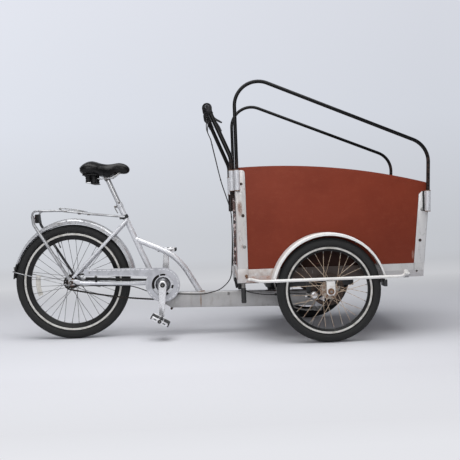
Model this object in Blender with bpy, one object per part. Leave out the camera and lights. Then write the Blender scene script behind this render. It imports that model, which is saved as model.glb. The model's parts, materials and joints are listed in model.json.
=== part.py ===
"""A cargo tricycle: a driven rear wheel, a steered load box between two front wheels.

Metres, +X forward, +Y to the rider's left, +Z up. Places along X are written from the
rear axle; the root empty then moves the whole machine so that X = 0 is its middle.
"""

import math

import bmesh
import bpy
from mathutils import Matrix, Vector

# Fits
SEAT_GAP = 0.0003          # between two pieces that touch
RUNNING_GAP = 0.0005       # radial, between an axle and what turns on it
DISC_GAP = 0.0025          # on each side of a brake disc in its caliper

# Layout
WHEELBASE = 1.284
TRACK = 0.730              # between the middles of the front tyres
REAR_WHEEL_R = 0.300
FRONT_WHEEL_R = 0.2475
TYRE_W = 0.047
STEER_LIMIT_DEG = 30.0

# Rear frame
TUBE_SIDES = 8
BB_X = 0.474
BB_Z = 0.2716
BB_SHELL_R = 0.0215
BB_SHELL_W = 0.070
SEAT_TUBE_R = 0.015
SEAT_TUBE_LEAN_DEG = 22.7  # from the vertical, towards the rear
SEAT_TUBE_TOP_Z = 0.700
SEAT_POST_R = 0.0135
SEAT_POST_TOP_Z = 0.826
SEAT_POST_DEPTH = 0.090    # length of post inside the seat tube
TOP_TUBE_R = 0.0155
TOP_TUBE_START_Z = 0.512   # where its centre line leaves the seat tube
TOP_TUBE_CORNER_X = 0.550
TOP_TUBE_CORNER_Z = 0.415
TOP_TUBE_FOOT_X = 0.672
TOP_TUBE_BEND_R = 0.300
BEAM_REAR_X = 0.400        # top rear corner
BEAM_CUT_X = 0.510         # bottom rear corner, the end is cut on the slant
BEAM_TOP_Z = 0.2285        # at the rear corner
BEAM_H = 0.080
BEAM_W = 0.060
BEAM_FALL = 0.0235         # fall of the beam for each metre forward
HEAD_R = 0.028
HEAD_BORE_R = 0.0165
HEAD_LOW_Z = 0.112
HEAD_HIGH_Z = 0.262
STAY_R = 0.011
SEATSTAY_R = 0.008
DROPOUT_IN = 0.058         # inner face of a dropout from the middle
DROPOUT_T = 0.005
REAR_AXLE_R = 0.005
STAY_FRONT_X = 0.418
STAY_FRONT_Y = 0.024
STAY_KINK_X = 0.300        # ahead of it the stays run in, to pass behind the chainwheel
STAY_KINK_Y = 0.0425
SEATSTAY_TOP_Z = 0.612
SEATSTAY_TOP_Y = 0.031

# Rear fender and rack
FENDER_CROWN_R = 0.333
FENDER_EDGE_R = 0.305
FENDER_HALF_W = 0.026
FENDER_T = 0.0015
REAR_FENDER_FRONT_DEG = 10.0
REAR_FENDER_BACK_DEG = 172.6
REAR_FENDER_STEPS = 17
RACK_TUBE_R = 0.0055
RACK_HALF_W = 0.064
RACK_Z = 0.674

# Drive
CHAIN_Y = -0.045
CHAINRING_R = 0.0755
SPROCKET_R = 0.0265
CHAIN_CLEAR = 0.0011       # from a toothed wheel's rim to the chain's corners
CHAIN_H = 0.0075
CHAIN_W = 0.0060
CRANK_L = 0.170
CRANK_TILT_DEG = 4.0
CRANK_IN_Y = 0.078         # inner face of an arm
CRANK_T = 0.014
SPINDLE_R = 0.0085
PEDAL_L = 0.099
PEDAL_W = 0.100
PEDAL_H = 0.026
PEDAL_R_TILT_DEG = 29.0
GUARD_R = 0.089
GUARD_HOLE_R = 0.058
GUARD_Y = -0.068
GUARD_T = 0.0015

# Load box
BOX_BACK = 0.426           # from the steering axis to the box's rear wall
BOX_AHEAD = 0.472          # from the steering axis to its front wall, at the bottom
BOX_REAR_X = WHEELBASE - BOX_BACK
BOX_FRONT_X = WHEELBASE + BOX_AHEAD
BOX_LEAN = 0.0909          # of the front wall, for each metre up
BOX_FLARE = 0.0364         # of each side wall, for each metre up
BOX_HALF_W = 0.300         # at the bottom
BOX_LOW_Z = 0.289
RAIL_H = 0.065
PROFILE_T = 0.003
PROFILE_W = 0.050
PANEL_T = 0.012
ARC_TOP_X = BOX_REAR_X + 0.142   # highest point of the side panel's top edge
ARC_TOP_Z = 0.847
ARC_R = 2.940
REAR_PANEL_TOP_Z = 0.836
FRONT_PANEL_TOP_Z = 0.735
REAR_PROFILE_TOP_Z = 0.832
FRONT_PROFILE_TOP_Z = 0.700

# Hoops and handlebar
HOOP_R = 0.0095
HOOP_Y = BOX_HALF_W + 0.029
HOOP_REAR_X = BOX_REAR_X + 0.012
HOOP_PEAK_Z = 1.3013       # where the post and the sloping run would meet
HOOP_FRONT_X = BOX_FRONT_X + 0.0335
HOOP_FRONT_Z = 0.9163
HOOP_FOOT_X = BOX_FRONT_X + 0.0215
HOOP_FOOT_Z = 0.602
HOOP_BEND_R = 0.114
SLEEVE_L = 0.100
SLEEVE_LOW_Z = 0.734
HOOP_SLEEVE_R = 0.0125
BAR_R = 0.011
BAR_SLEEVE_R = 0.0138
BAR_Y = BOX_HALF_W - 0.002
BAR_TOP_Y = BAR_Y - 0.036
BAR_TOP_Z = 1.155
BAR_BEND_Z = 0.893
BAR_LEAN_DEG = 22.4
BAR_FOOT_Z = 0.640
BAR_BEND_Y = 0.068         # from a post's line in to where the grip starts
GRIP_R = 0.0200
GRIP_SHARE = 0.644         # of the bar's straight half, outside the levers

# Front wheels' carriers
SIDE_BAR_R = 0.010
SIDE_BAR_Y = 0.425
SIDE_BAR_Z = 0.306
FRONT_AXLE_R = 0.006
AXLE_PLATE_T = 0.005
AXLE_PLATE_W = 0.040
BRACKET_T = 0.006
DISC_R = 0.080
DISC_T = 0.002
DISC_IN = 0.040            # from the wheel's middle towards the box
RIM_HALF_W = 0.0125
REAR_RIM_DROP = 0.040      # from the tread down to the rim's edge
REAR_TRACK_H = 0.016       # the flat brake track
REAR_RIM_H = 0.030
FRONT_RIM_DROP = 0.038
FRONT_TRACK_H = 0.0125
FRONT_RIM_H = 0.0245
SPOKE_R = 0.0010
SPOKE_STEP = 0.0009        # the crossed spokes pass on each side of their flange's middle
SPOKE_SLANT_DEG = 42.0
FLANGE_HALF_T = 0.0022
FRONT_FENDER_R = 0.273
FRONT_FENDER_EDGE_R = 0.255
FRONT_FENDER_OUT = 0.395
PEG_R = 0.012
PEG_LOW_Z = 0.190
CROSS_BACK = 0.280         # from the steering axis to the rear cross bar's middle
CROSS_AHEAD = 0.268
CABLE_R = 0.0025
ROUTE_HALF_W = 0.300       # the cables' points are written for this box, lever place and steering axis
ROUTE_LEVER_Y = 0.055
ROUTE_AXIS_X = 1.284

HALF_TRACK = TRACK / 2
TYRE_R = TYRE_W / 2

bodies = {}
materials = {}


def clear_scene():
    for obj in list(bpy.data.objects):
        bpy.data.objects.remove(obj, do_unlink=True)


def linear(hex_colour):
    """An sRGB hex colour as the linear values that a shader takes."""
    channels = [int(hex_colour[i:i + 2], 16) / 255 for i in (1, 3, 5)]
    low = [c / 12.92 if c <= 0.04045 else ((c + 0.055) / 1.055) ** 2.4 for c in channels]
    return (*low, 1.0)


def paint(name, hex_colour, roughness, metallic=0.0):
    made = bpy.data.materials.new(name)
    made.use_nodes = True
    shader = made.node_tree.nodes["Principled BSDF"]
    shader.inputs["Base Color"].default_value = linear(hex_colour)
    shader.inputs["Roughness"].default_value = roughness
    shader.inputs["Metallic"].default_value = metallic
    materials[name] = made


def make_materials():
    paint("silver_paint", "#A7A9AB", 0.35, 0.6)
    paint("aluminium", "#C9CACA", 0.4, 0.8)
    paint("chrome", "#C4C6C8", 0.12, 1.0)
    paint("black_paint", "#18191B", 0.4)
    paint("steel", "#7E7C7A", 0.45, 0.9)
    paint("rusty_steel", "#6A4A35", 0.75, 0.4)
    paint("tyre_rubber", "#1B1B1C", 0.85)
    paint("red_board", "#78352A", 0.55)
    paint("saddle_cover", "#151617", 0.5)
    paint("foam", "#1A1A1B", 0.9)
    paint("reflector_red", "#5E1512", 0.3)
    paint("cable_housing", "#1A1A1B", 0.5)


def make_body(name, place, parent=None):
    """An empty on a body's joint axis, which the body's pieces hang on."""
    empty = bpy.data.objects.new(name + "_axis", None)
    bpy.context.scene.collection.objects.link(empty)
    origin = Vector(place)
    if parent:
        empty.parent = bodies[parent][0]
        empty.location = origin - bodies[parent][1]
    else:
        empty.location = origin
    bodies[name] = (empty, origin)


def centre_lengthways(root):
    """Moves the root so that X = 0 is the middle of the whole machine's length."""
    bpy.context.view_layer.update()
    places = [obj.matrix_world @ vert.co for obj in bpy.data.objects if obj.type == "MESH"
              for vert in obj.data.vertices]
    middle = (min(p.x for p in places) + max(p.x for p in places)) / 2
    bodies[root][0].location.x -= middle


def add_faces(bm, rings, closed_along, cap=True):
    """Skins a list of vertex rings that all have the same count."""
    count = len(rings[0])
    pairs = list(zip(rings, rings[1:]))
    if closed_along:
        pairs.append((rings[-1], rings[0]))
    for ring, after in pairs:
        for i in range(count):
            j = (i + 1) % count
            bm.faces.new((ring[i], ring[j], after[j], after[i]))
    if cap and not closed_along:
        bm.faces.new(list(reversed(rings[0])))
        bm.faces.new(rings[-1])


def box(low, high):
    bm = bmesh.new()
    centre = (Vector(low) + Vector(high)) / 2
    size = Vector(high) - Vector(low)
    bmesh.ops.create_cube(bm, size=1.0)
    bmesh.ops.scale(bm, vec=size, verts=bm.verts)
    bmesh.ops.translate(bm, vec=centre, verts=bm.verts)
    return bm


def prism(outline, axis, low, high):
    """Extrudes an outline: (x, z) points along Y, (x, y) along Z, (y, z) along X."""
    def place(point, along):
        a, b = point
        if axis == "Y":
            return (a, along, b)
        if axis == "Z":
            return (a, b, along)
        return (along, a, b)
    bm = bmesh.new()
    rings = [[bm.verts.new(place(p, along)) for p in outline] for along in (low, high)]
    add_faces(bm, rings, False)
    return bm


def lathe(profile, centre, axis="Y", steps=24, start=0.0):
    """Turns a closed profile of (radius, along) points about an axis through centre."""
    direction = {"X": Vector((1, 0, 0)), "Y": Vector((0, 1, 0)), "Z": Vector((0, 0, 1))}
    turn = direction[axis] if isinstance(axis, str) else Vector(axis).normalized()
    across = Vector((0, 0, 1)) if abs(turn.z) < 0.9 else Vector((1, 0, 0))
    across = (across - turn * across.dot(turn)).normalized()
    bm = bmesh.new()
    rings = []
    for i in range(steps):
        spin = Matrix.Rotation(start + math.tau * i / steps, 3, turn)
        arm = spin @ across
        rings.append([bm.verts.new(Vector(centre) + arm * r + turn * t) for r, t in profile])
    add_faces(bm, rings, True)
    bmesh.ops.remove_doubles(bm, verts=bm.verts, dist=1e-6)
    loose = [face for face in bm.faces if face.calc_area() < 1e-12]
    bmesh.ops.delete(bm, geom=loose, context="FACES_ONLY")
    return bm


def cylinder(radius, low, high, steps=16):
    """A round bar between two points."""
    a = Vector(low)
    b = Vector(high)
    length = (b - a).length
    return lathe([(0, 0), (radius, 0), (radius, length), (0, length)], a, b - a, steps)


def pipe(radius, bore, low, high, steps=16):
    a = Vector(low)
    b = Vector(high)
    length = (b - a).length
    return lathe([(bore, 0), (radius, 0), (radius, length), (bore, length)], a, b - a, steps)


def round_hole(radius, sides):
    """The corner radius of a many-sided hole whose flats clear a round bar."""
    return (radius + SEAT_GAP) / math.cos(math.pi / sides)


def bent(corners, radius, steps=4):
    """A tube's centre line: straight runs with an arc at each inner corner."""
    points = [Vector(c) for c in corners]
    radii = radius if isinstance(radius, (list, tuple)) else [radius] * (len(points) - 2)
    path = [points[0]]
    for before, corner, after, bend in zip(points, points[1:], points[2:], radii):
        back = (before - corner).normalized()
        ahead = (after - corner).normalized()
        half = back.angle(ahead) / 2
        centre = corner + (back + ahead).normalized() * bend / math.sin(half)
        start = corner + back * bend / math.tan(half) - centre
        end = corner + ahead * bend / math.tan(half) - centre
        hinge = start.cross(end).normalized()
        sweep = start.angle(end)
        for i in range(steps + 1):
            path.append(centre + Matrix.Rotation(sweep * i / steps, 3, hinge) @ start)
    path.append(points[-1])
    return path


def tube(path, radius, sides=TUBE_SIDES):
    """A solid round section carried along a path."""
    points = [Vector(p) for p in path]
    last = len(points) - 1
    bm = bmesh.new()
    rings = []
    across = None
    for i, point in enumerate(points):
        tangent = (points[min(i + 1, last)] - points[max(i - 1, 0)]).normalized()
        if across is None:
            across = Vector((0, 1, 0)) if abs(tangent.y) < 0.8 else Vector((0, 0, 1))
        across = (across - tangent * across.dot(tangent)).normalized()
        side = tangent.cross(across)
        ring = []
        for j in range(sides):
            angle = math.tau * (j + 0.5) / sides
            offset = across * math.cos(angle) + side * math.sin(angle)
            ring.append(bm.verts.new(point + offset * radius))
        rings.append(ring)
    add_faces(bm, rings, False)
    return bm


def arc_sheet(profile, centre, from_deg, to_deg, steps):
    """A closed profile of (radius, y) points swept round an axle, with its ends closed."""
    bm = bmesh.new()
    rings = []
    for i in range(steps + 1):
        angle = math.radians(from_deg + (to_deg - from_deg) * i / steps)
        cx = math.cos(angle)
        cz = math.sin(angle)
        ring = [bm.verts.new((centre[0] + r * cx, y, centre[1] + r * cz)) for r, y in profile]
        rings.append(ring)
    add_faces(bm, rings, False)
    return bm


def turned(bm, degrees, centre, axis="Y"):
    matrix = Matrix.Rotation(math.radians(degrees), 3, axis)
    bmesh.ops.rotate(bm, cent=Vector(centre), matrix=matrix, verts=bm.verts)
    return bm


def mirrored(bm):
    """The other side's copy: Y is turned over."""
    for vert in bm.verts:
        vert.co.y = -vert.co.y
    return bm


def temporary(bm, name):
    bmesh.ops.recalc_face_normals(bm, faces=bm.faces)
    mesh = bpy.data.meshes.new(name)
    bm.to_mesh(mesh)
    bm.free()
    obj = bpy.data.objects.new(name, mesh)
    bpy.context.scene.collection.objects.link(obj)
    return obj


def combined(pieces, cutters=()):
    """One solid from pieces that run into each other, less the cutters."""
    host = temporary(pieces[0], "host")
    others = [(temporary(p, "piece"), "UNION") for p in pieces[1:]]
    others += [(temporary(c, "cutter"), "DIFFERENCE") for c in cutters]
    for obj, operation in others:
        step = host.modifiers.new("step", "BOOLEAN")
        step.object = obj
        step.operation = operation
        step.solver = "EXACT"
        step.use_self = obj.data.name.startswith("piece")
        obj.hide_render = True
        obj.display_type = "WIRE"
    graph = bpy.context.evaluated_depsgraph_get()
    result = host.evaluated_get(graph).to_mesh()
    bm = bmesh.new()
    bm.from_mesh(result)
    for obj in [host] + [pair[0] for pair in others]:
        bpy.data.objects.remove(obj, do_unlink=True)
    bmesh.ops.remove_doubles(bm, verts=bm.verts, dist=2e-6)
    bmesh.ops.dissolve_degenerate(bm, edges=bm.edges, dist=1e-6)
    return bm


def piece(name, material, body, bm, smooth=True):
    """Makes a named node on a body from a mesh in the layout's coordinates."""
    empty, origin = bodies[body]
    bmesh.ops.translate(bm, vec=-origin, verts=bm.verts)
    bmesh.ops.recalc_face_normals(bm, faces=bm.faces)
    mesh = bpy.data.meshes.new(name)
    bm.to_mesh(mesh)
    bm.free()
    obj = bpy.data.objects.new(name, mesh)
    bpy.context.scene.collection.objects.link(obj)
    obj.parent = empty
    mesh.materials.append(materials[material])
    if smooth:
        mesh.shade_smooth()
        mesh.set_sharp_from_angle(angle=math.radians(40))
    return obj


def both_sides(name, material, body, build):
    """A right piece and its mirror image on the left."""
    piece(name + "_right", material, body, build())
    piece(name + "_left", material, body, mirrored(build()))


def beam_top(x):
    return BEAM_TOP_Z - BEAM_FALL * (x - BEAM_REAR_X)


def seat_tube_x(z):
    """Where the seat tube's centre line is at a height; it clears the crank's shell."""
    lean = math.tan(math.radians(SEAT_TUBE_LEAN_DEG))
    reach = BB_SHELL_R + SEAT_TUBE_R + SEAT_GAP
    foot = BB_X - reach / math.cos(math.radians(SEAT_TUBE_LEAN_DEG))
    return foot - (z - BB_Z) * lean


def seat_tube_direction():
    lean = math.radians(SEAT_TUBE_LEAN_DEG)
    return Vector((-math.sin(lean), 0, math.cos(lean)))


def make_tyre(name, body, radius, drop, centre, steps):
    """A round tyre that stands on the edge of its rim."""
    middle = radius - TYRE_R
    foot = radius - drop + SEAT_GAP
    widest = math.degrees(math.acos((foot + 0.002 - middle) / TYRE_R))
    profile = [(foot, -RIM_HALF_W - 0.001)]
    for i in range(6):
        angle = math.radians(-widest + 2 * widest * i / 5)
        profile.append((middle + TYRE_R * math.cos(angle), TYRE_R * math.sin(angle)))
    profile.append((foot, RIM_HALF_W + 0.001))
    piece(name, "tyre_rubber", body, lathe(profile, centre, "Y", steps))


def rim(edge_r, track, height, centre, steps):
    """A box-section rim: a flat brake track on each side, tapering to the spokes."""
    inner = edge_r - height
    half = RIM_HALF_W
    profile = [(edge_r, half), (edge_r, -half), (edge_r - track, -half), (inner, -half * 0.5),
               (inner, half * 0.5), (edge_r - track, half)]
    return lathe(profile, centre, "Y", steps)


def spokes(count, centre, hub_r, flange, rim_r):
    """Crossed spokes: each leaves its flange at a slant, alternately leading and trailing."""
    holes = count // 2
    bm = bmesh.new()
    for side in (-1, 1):
        for i in range(holes):
            lead = 1 if i % 2 else -1
            rim_angle = math.tau * (i + (0.25 if side > 0 else 0.75)) / holes
            hub_angle = rim_angle + lead * math.radians(SPOKE_SLANT_DEG)
            y0 = side * flange + lead * SPOKE_STEP
            start = Vector((hub_r * math.cos(hub_angle), y0, hub_r * math.sin(hub_angle)))
            end = Vector((rim_r * math.cos(rim_angle), side * 0.002, rim_r * math.sin(rim_angle)))
            add_copy(bm, tube([Vector(centre) + start, Vector(centre) + end], SPOKE_R, 3))
    return bm


def add_copy(bm, other):
    """Adds another solid's faces to this mesh."""
    bmesh.ops.recalc_face_normals(other, faces=other.faces)
    mesh = bpy.data.meshes.new("copy")
    other.to_mesh(mesh)
    other.free()
    bm.from_mesh(mesh)
    bpy.data.meshes.remove(mesh)


def make_rear_wheel():
    centre = (0, 0, REAR_WHEEL_R)
    edge = REAR_WHEEL_R - REAR_RIM_DROP
    make_tyre("rear_tyre", "rear_wheel", REAR_WHEEL_R, REAR_RIM_DROP, centre, 32)
    ring = rim(edge, REAR_TRACK_H, REAR_RIM_H, centre, 32)
    bore = REAR_AXLE_R + RUNNING_GAP
    flange = 0.030
    t = FLANGE_HALF_T
    profile = [(bore, -0.052), (0.014, -0.052), (SPROCKET_R, -0.0470), (SPROCKET_R, -0.0430),
               (0.020, -0.0410), (0.020, -flange - t), (0.034, -flange - t), (0.034, -flange + t),
               (0.021, -flange + t + 0.003), (0.021, flange - t - 0.003), (0.034, flange - t),
               (0.034, flange + t), (0.022, flange + t), (0.018, 0.040), (bore, 0.040)]
    hub = lathe(profile, centre, "Y", 16)
    wires = spokes(36, centre, 0.0295, flange, edge - REAR_RIM_H + 0.002)
    piece("rear_wheel", "steel", "rear_wheel", combined([ring, hub, wires]))


def make_front_wheel(side, word):
    body = "front_wheel_" + word
    centre = (WHEELBASE, side * HALF_TRACK, FRONT_WHEEL_R)
    edge = FRONT_WHEEL_R - FRONT_RIM_DROP
    make_tyre("tyre_" + word, body, FRONT_WHEEL_R, FRONT_RIM_DROP, centre, 28)
    ring = rim(edge, FRONT_TRACK_H, FRONT_RIM_H, centre, 28)
    bore = FRONT_AXLE_R + RUNNING_GAP
    flange = 0.026
    t = FLANGE_HALF_T
    disc_a = DISC_IN - DISC_T / 2
    disc_b = DISC_IN + DISC_T / 2
    profile = [(bore, -0.044), (0.011, -0.044), (0.016, -flange - t), (0.034, -flange - t),
               (0.034, -flange + t), (0.015, -flange + t + 0.004), (0.015, flange - t - 0.004),
               (0.034, flange - t), (0.034, flange + t), (0.022, flange + t), (0.022, disc_a),
               (DISC_R, disc_a), (DISC_R, disc_b), (0.012, 0.045), (bore, 0.045)]
    profile = [(r, -side * y) for r, y in profile]
    hub = lathe(profile, centre, "Y", 18)
    wires = spokes(28, centre, 0.0295, flange, edge - FRONT_RIM_H + 0.002)
    piece("wheel_" + word, "rusty_steel", body, combined([ring, hub, wires]))


def make_beam():
    front = WHEELBASE + HEAD_R * 0.5
    outline = [(BEAM_REAR_X, beam_top(BEAM_REAR_X)), (BEAM_REAR_X, beam_top(BEAM_REAR_X) - 0.012),
               (BEAM_CUT_X, beam_top(BEAM_CUT_X) - BEAM_H), (front, beam_top(front) - BEAM_H),
               (front, beam_top(front))]
    solid = prism(outline, "Y", -BEAM_W / 2, BEAM_W / 2)
    socket = cylinder(HEAD_R + SEAT_GAP, (WHEELBASE, 0, 0), (WHEELBASE, 0, 0.5), 32)
    clear = box((WHEELBASE, -0.1, 0), (WHEELBASE + 0.1, 0.1, 0.5))
    bore = combined([socket, clear])
    piece("main_beam", "silver_paint", "frame", combined([solid], [bore]))
    head = pipe(HEAD_R, HEAD_BORE_R, (WHEELBASE, 0, HEAD_LOW_Z), (WHEELBASE, 0, HEAD_HIGH_Z), 32)
    piece("steering_head", "silver_paint", "frame", head)


def make_seat_tube():
    way = seat_tube_direction()
    foot = Vector((seat_tube_x(0.20), 0, 0.20))
    top = Vector((seat_tube_x(SEAT_TUBE_TOP_Z), 0, SEAT_TUBE_TOP_Z))
    length = (top - foot).length
    bore = SEAT_POST_R + SEAT_GAP
    floor_of_bore = length - SEAT_POST_DEPTH - 0.010
    profile = [(0, 0), (SEAT_TUBE_R, 0), (SEAT_TUBE_R, length), (bore, length),
               (bore, floor_of_bore), (0, floor_of_bore)]
    solid = lathe(profile, foot, way, 16)
    piece("seat_tube", "silver_paint", "frame", combined([solid], [beam_below()]))
    bottom = top - way * SEAT_POST_DEPTH
    reach = (SEAT_POST_TOP_Z - bottom.z) / way.z
    post = cylinder(SEAT_POST_R, bottom, bottom + way * reach, 16)
    piece("seat_post", "aluminium", "frame", post)
    low = top - way * 0.020
    high = top + way * 0.004
    ring = pipe(SEAT_TUBE_R + 0.005, SEAT_TUBE_R + SEAT_GAP, low, high, 16)
    ear_place = low.lerp(high, 0.5) + Vector((way.z, 0, -way.x)) * -(SEAT_TUBE_R + 0.008)
    ear = cylinder(0.006, ear_place + Vector((0, -0.016, 0)), ear_place + Vector((0, 0.016, 0)), 8)
    piece("seat_clamp", "black_paint", "frame", combined([ring, ear]))


def beam_below():
    """Everything under the beam's sloping top, with the gap that a tube's foot keeps."""
    high = SEAT_GAP
    return prism([(0.30, 0.0), (0.90, 0.0), (0.90, beam_top(0.90) + high), (0.30, beam_top(0.30) + high)],
                 "Y", -0.1, 0.1)


def make_top_tube():
    start = (seat_tube_x(TOP_TUBE_START_Z), 0, TOP_TUBE_START_Z)
    corner = (TOP_TUBE_CORNER_X, 0, TOP_TUBE_CORNER_Z)
    run = Vector((TOP_TUBE_FOOT_X - TOP_TUBE_CORNER_X, 0, 0.205 - TOP_TUBE_CORNER_Z))
    foot = Vector(corner) + run
    solid = tube(bent([start, corner, foot], TOP_TUBE_BEND_R, 7), TOP_TUBE_R, 10)
    way = seat_tube_direction()
    middle = Vector((seat_tube_x(0.5), 0, 0.5))
    seat = cylinder(SEAT_TUBE_R + SEAT_GAP, middle - way * 0.2, middle + way * 0.2, 16)
    behind = box((0.0, -0.1, 0.3), (seat_tube_x(0.5) - 0.004, 0.1, 0.7))
    piece("top_tube", "silver_paint", "frame", combined([solid], [seat, behind, beam_below()]))


def make_bottom_bracket():
    half = BB_SHELL_W / 2
    shell = pipe(BB_SHELL_R, SPINDLE_R + 0.003, (BB_X, -half, BB_Z), (BB_X, half, BB_Z), 20)
    piece("bottom_bracket_shell", "silver_paint", "frame", shell)


def dropout(side):
    """A plate with an eye round the rear axle, and a tail that the chainstay is welded to."""
    low = DROPOUT_IN
    high = DROPOUT_IN + DROPOUT_T
    z = REAR_WHEEL_R
    outline = [(-0.020, z - 0.012), (-0.004, z - 0.020), (0.026, z - 0.016), (0.060, z - 0.010),
               (0.060, z + 0.004), (0.026, z + 0.018), (-0.004, z + 0.020), (-0.020, z + 0.012)]
    plate = prism(outline, "Y", low, high)
    if side < 0:
        mirrored(plate)
    return plate


def stay_path(side):
    """A chainstay from its dropout, past the tyre and behind the chainwheel, to the seat tube."""
    path = [(0.045, DROPOUT_IN + DROPOUT_T / 2, REAR_WHEEL_R - 0.003),
            (0.100, DROPOUT_IN - 0.001, REAR_WHEEL_R - 0.006),
            (STAY_KINK_X, STAY_KINK_Y, BB_Z + 0.012),
            (STAY_FRONT_X, STAY_FRONT_Y, BB_Z + 0.006)]
    return [Vector((x, side * y, z)) for x, y, z in path]


def chainstay(side, radius):
    return tube(stay_path(side), radius)


def stay_at(side, x):
    """The centre line of a chainstay's long straight part at a place along the bike."""
    path = stay_path(side)
    return path[1].lerp(path[2], (x - path[1].x) / (path[2].x - path[1].x))


def stay_clip(side, x, length, wall, sides):
    """A band round the long straight part of a chainstay."""
    start = stay_at(side, x)
    way = (stay_at(side, x + 0.1) - start).normalized()
    return pipe(STAY_R + wall, round_hole(STAY_R, sides), start, start + way * length, sides)


def reached(start, end, centre, distance):
    """The point on the line from start to end that is this far from centre."""
    way = (end - start).normalized()
    back = start - centre
    half = back.dot(way)
    return start + way * (math.sqrt(half ** 2 - back.dot(back) + distance ** 2) - half)


def fender_crown_at(degrees):
    """The faceted rear fender's outer radius at an angle round the axle."""
    step = (REAR_FENDER_BACK_DEG - REAR_FENDER_FRONT_DEG) / REAR_FENDER_STEPS
    offset = (degrees - REAR_FENDER_FRONT_DEG) % step - step / 2
    return FENDER_CROWN_R * math.cos(math.radians(step / 2)) / math.cos(math.radians(offset))


def make_stays():
    parts = []
    for side in (-1, 1):
        parts += [chainstay(side, STAY_R), dropout(side)]
    bridge = Vector((FENDER_CROWN_R + 0.012, STAY_KINK_Y - 0.004, BB_Z + 0.010))
    parts.append(cylinder(0.007, (bridge.x, -bridge.y, bridge.z), (bridge.x, bridge.y, bridge.z), 8))
    way = seat_tube_direction()
    middle = Vector((seat_tube_x(0.3), 0, 0.3))
    seat = cylinder(SEAT_TUBE_R + SEAT_GAP, middle - way * 0.15, middle + way * 0.15, 16)
    hole = cylinder(REAR_AXLE_R + SEAT_GAP, (0, -0.1, REAR_WHEEL_R), (0, 0.1, REAR_WHEEL_R), 12)
    piece("chainstays", "silver_paint", "frame", combined(parts, [seat, hole]))
    parts = []
    foot = Vector((0.010, DROPOUT_IN + DROPOUT_T / 2, REAR_WHEEL_R + 0.0255))
    top = Vector((seat_tube_x(SEATSTAY_TOP_Z) + 0.002, SEATSTAY_TOP_Y - 0.008, SEATSTAY_TOP_Z))
    shoulder = foot.lerp(top, 0.90)
    shoulder.y = SEATSTAY_TOP_Y
    for side in (-1, 1):
        path = [(p.x, side * p.y, p.z) for p in (foot, shoulder, top)]
        parts.append(tube(path, SEATSTAY_R))
    bridge_r = 0.006
    flat = Vector((1, 0, 1))
    axle = Vector((0, 0, REAR_WHEEL_R))
    over = reached(foot * flat, shoulder * flat, axle, FENDER_CROWN_R + bridge_r)
    crown = fender_crown_at(math.degrees(math.atan2(over.z - axle.z, over.x)))
    bridge = reached(foot * flat, shoulder * flat, axle, crown + bridge_r + SEAT_GAP)
    half = SEATSTAY_TOP_Y + 0.004
    low = bridge + Vector((0, -half, 0))
    high = bridge + Vector((0, half, 0))
    parts.append(cylinder(bridge_r, low, high, 8))
    up = Vector((seat_tube_x(0.6), 0, 0.6))
    seat = cylinder(SEAT_TUBE_R + SEAT_GAP, up - way * 0.15, up + way * 0.15, 16)
    piece("seatstays", "silver_paint", "frame", combined(parts, [seat]))


def make_rear_axle():
    reach = DROPOUT_IN + DROPOUT_T
    end = reach + 0.018
    rod = cylinder(REAR_AXLE_R, (0, -end, REAR_WHEEL_R), (0, end, REAR_WHEEL_R), 12)
    parts = [rod]
    for side in (-1, 1):
        low = (0, side * (reach + SEAT_GAP), REAR_WHEEL_R)
        high = (0, side * (reach + 0.011), REAR_WHEEL_R)
        parts.append(cylinder(0.010, low, high, 6))
    piece("rear_axle", "steel", "frame", combined(parts))


def make_rear_fender():
    outer = [(FENDER_EDGE_R, -FENDER_HALF_W), (FENDER_EDGE_R + 0.014, -FENDER_HALF_W + 0.001),
             (FENDER_CROWN_R - 0.004, -FENDER_HALF_W * 0.55), (FENDER_CROWN_R, 0)]
    outer += [(r, -y) for r, y in reversed(outer[:-1])]
    inner = [(r - FENDER_T, y * (1 - FENDER_T / FENDER_HALF_W)) for r, y in reversed(outer)]
    inner[0] = (FENDER_EDGE_R, FENDER_HALF_W - FENDER_T)
    inner[-1] = (FENDER_EDGE_R, -FENDER_HALF_W + FENDER_T)
    sheet = arc_sheet(outer + inner, (0, REAR_WHEEL_R), REAR_FENDER_FRONT_DEG,
                      REAR_FENDER_BACK_DEG, REAR_FENDER_STEPS)
    piece("rear_fender", "silver_paint", "frame", sheet)


def make_fender_stay():
    """A wire that runs from one side of the axle round the fender's tail to the other."""
    y = DROPOUT_IN + DROPOUT_T + 0.0035
    angle = math.radians(168)
    reach = FENDER_CROWN_R + 0.0022 + 0.0006
    tail = (reach * math.cos(angle), 0, REAR_WHEEL_R + reach * math.sin(angle))
    foot = (-0.012, y, REAR_WHEEL_R - 0.013)
    corner = (tail[0], FENDER_HALF_W + 0.008, tail[2])
    path = bent([(foot[0], -foot[1], foot[2]), (corner[0], -corner[1], corner[2]),
                 corner, foot], 0.012, 3)
    piece("rear_fender_stay", "chrome", "frame", tube(path, 0.0022, 6))


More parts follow.
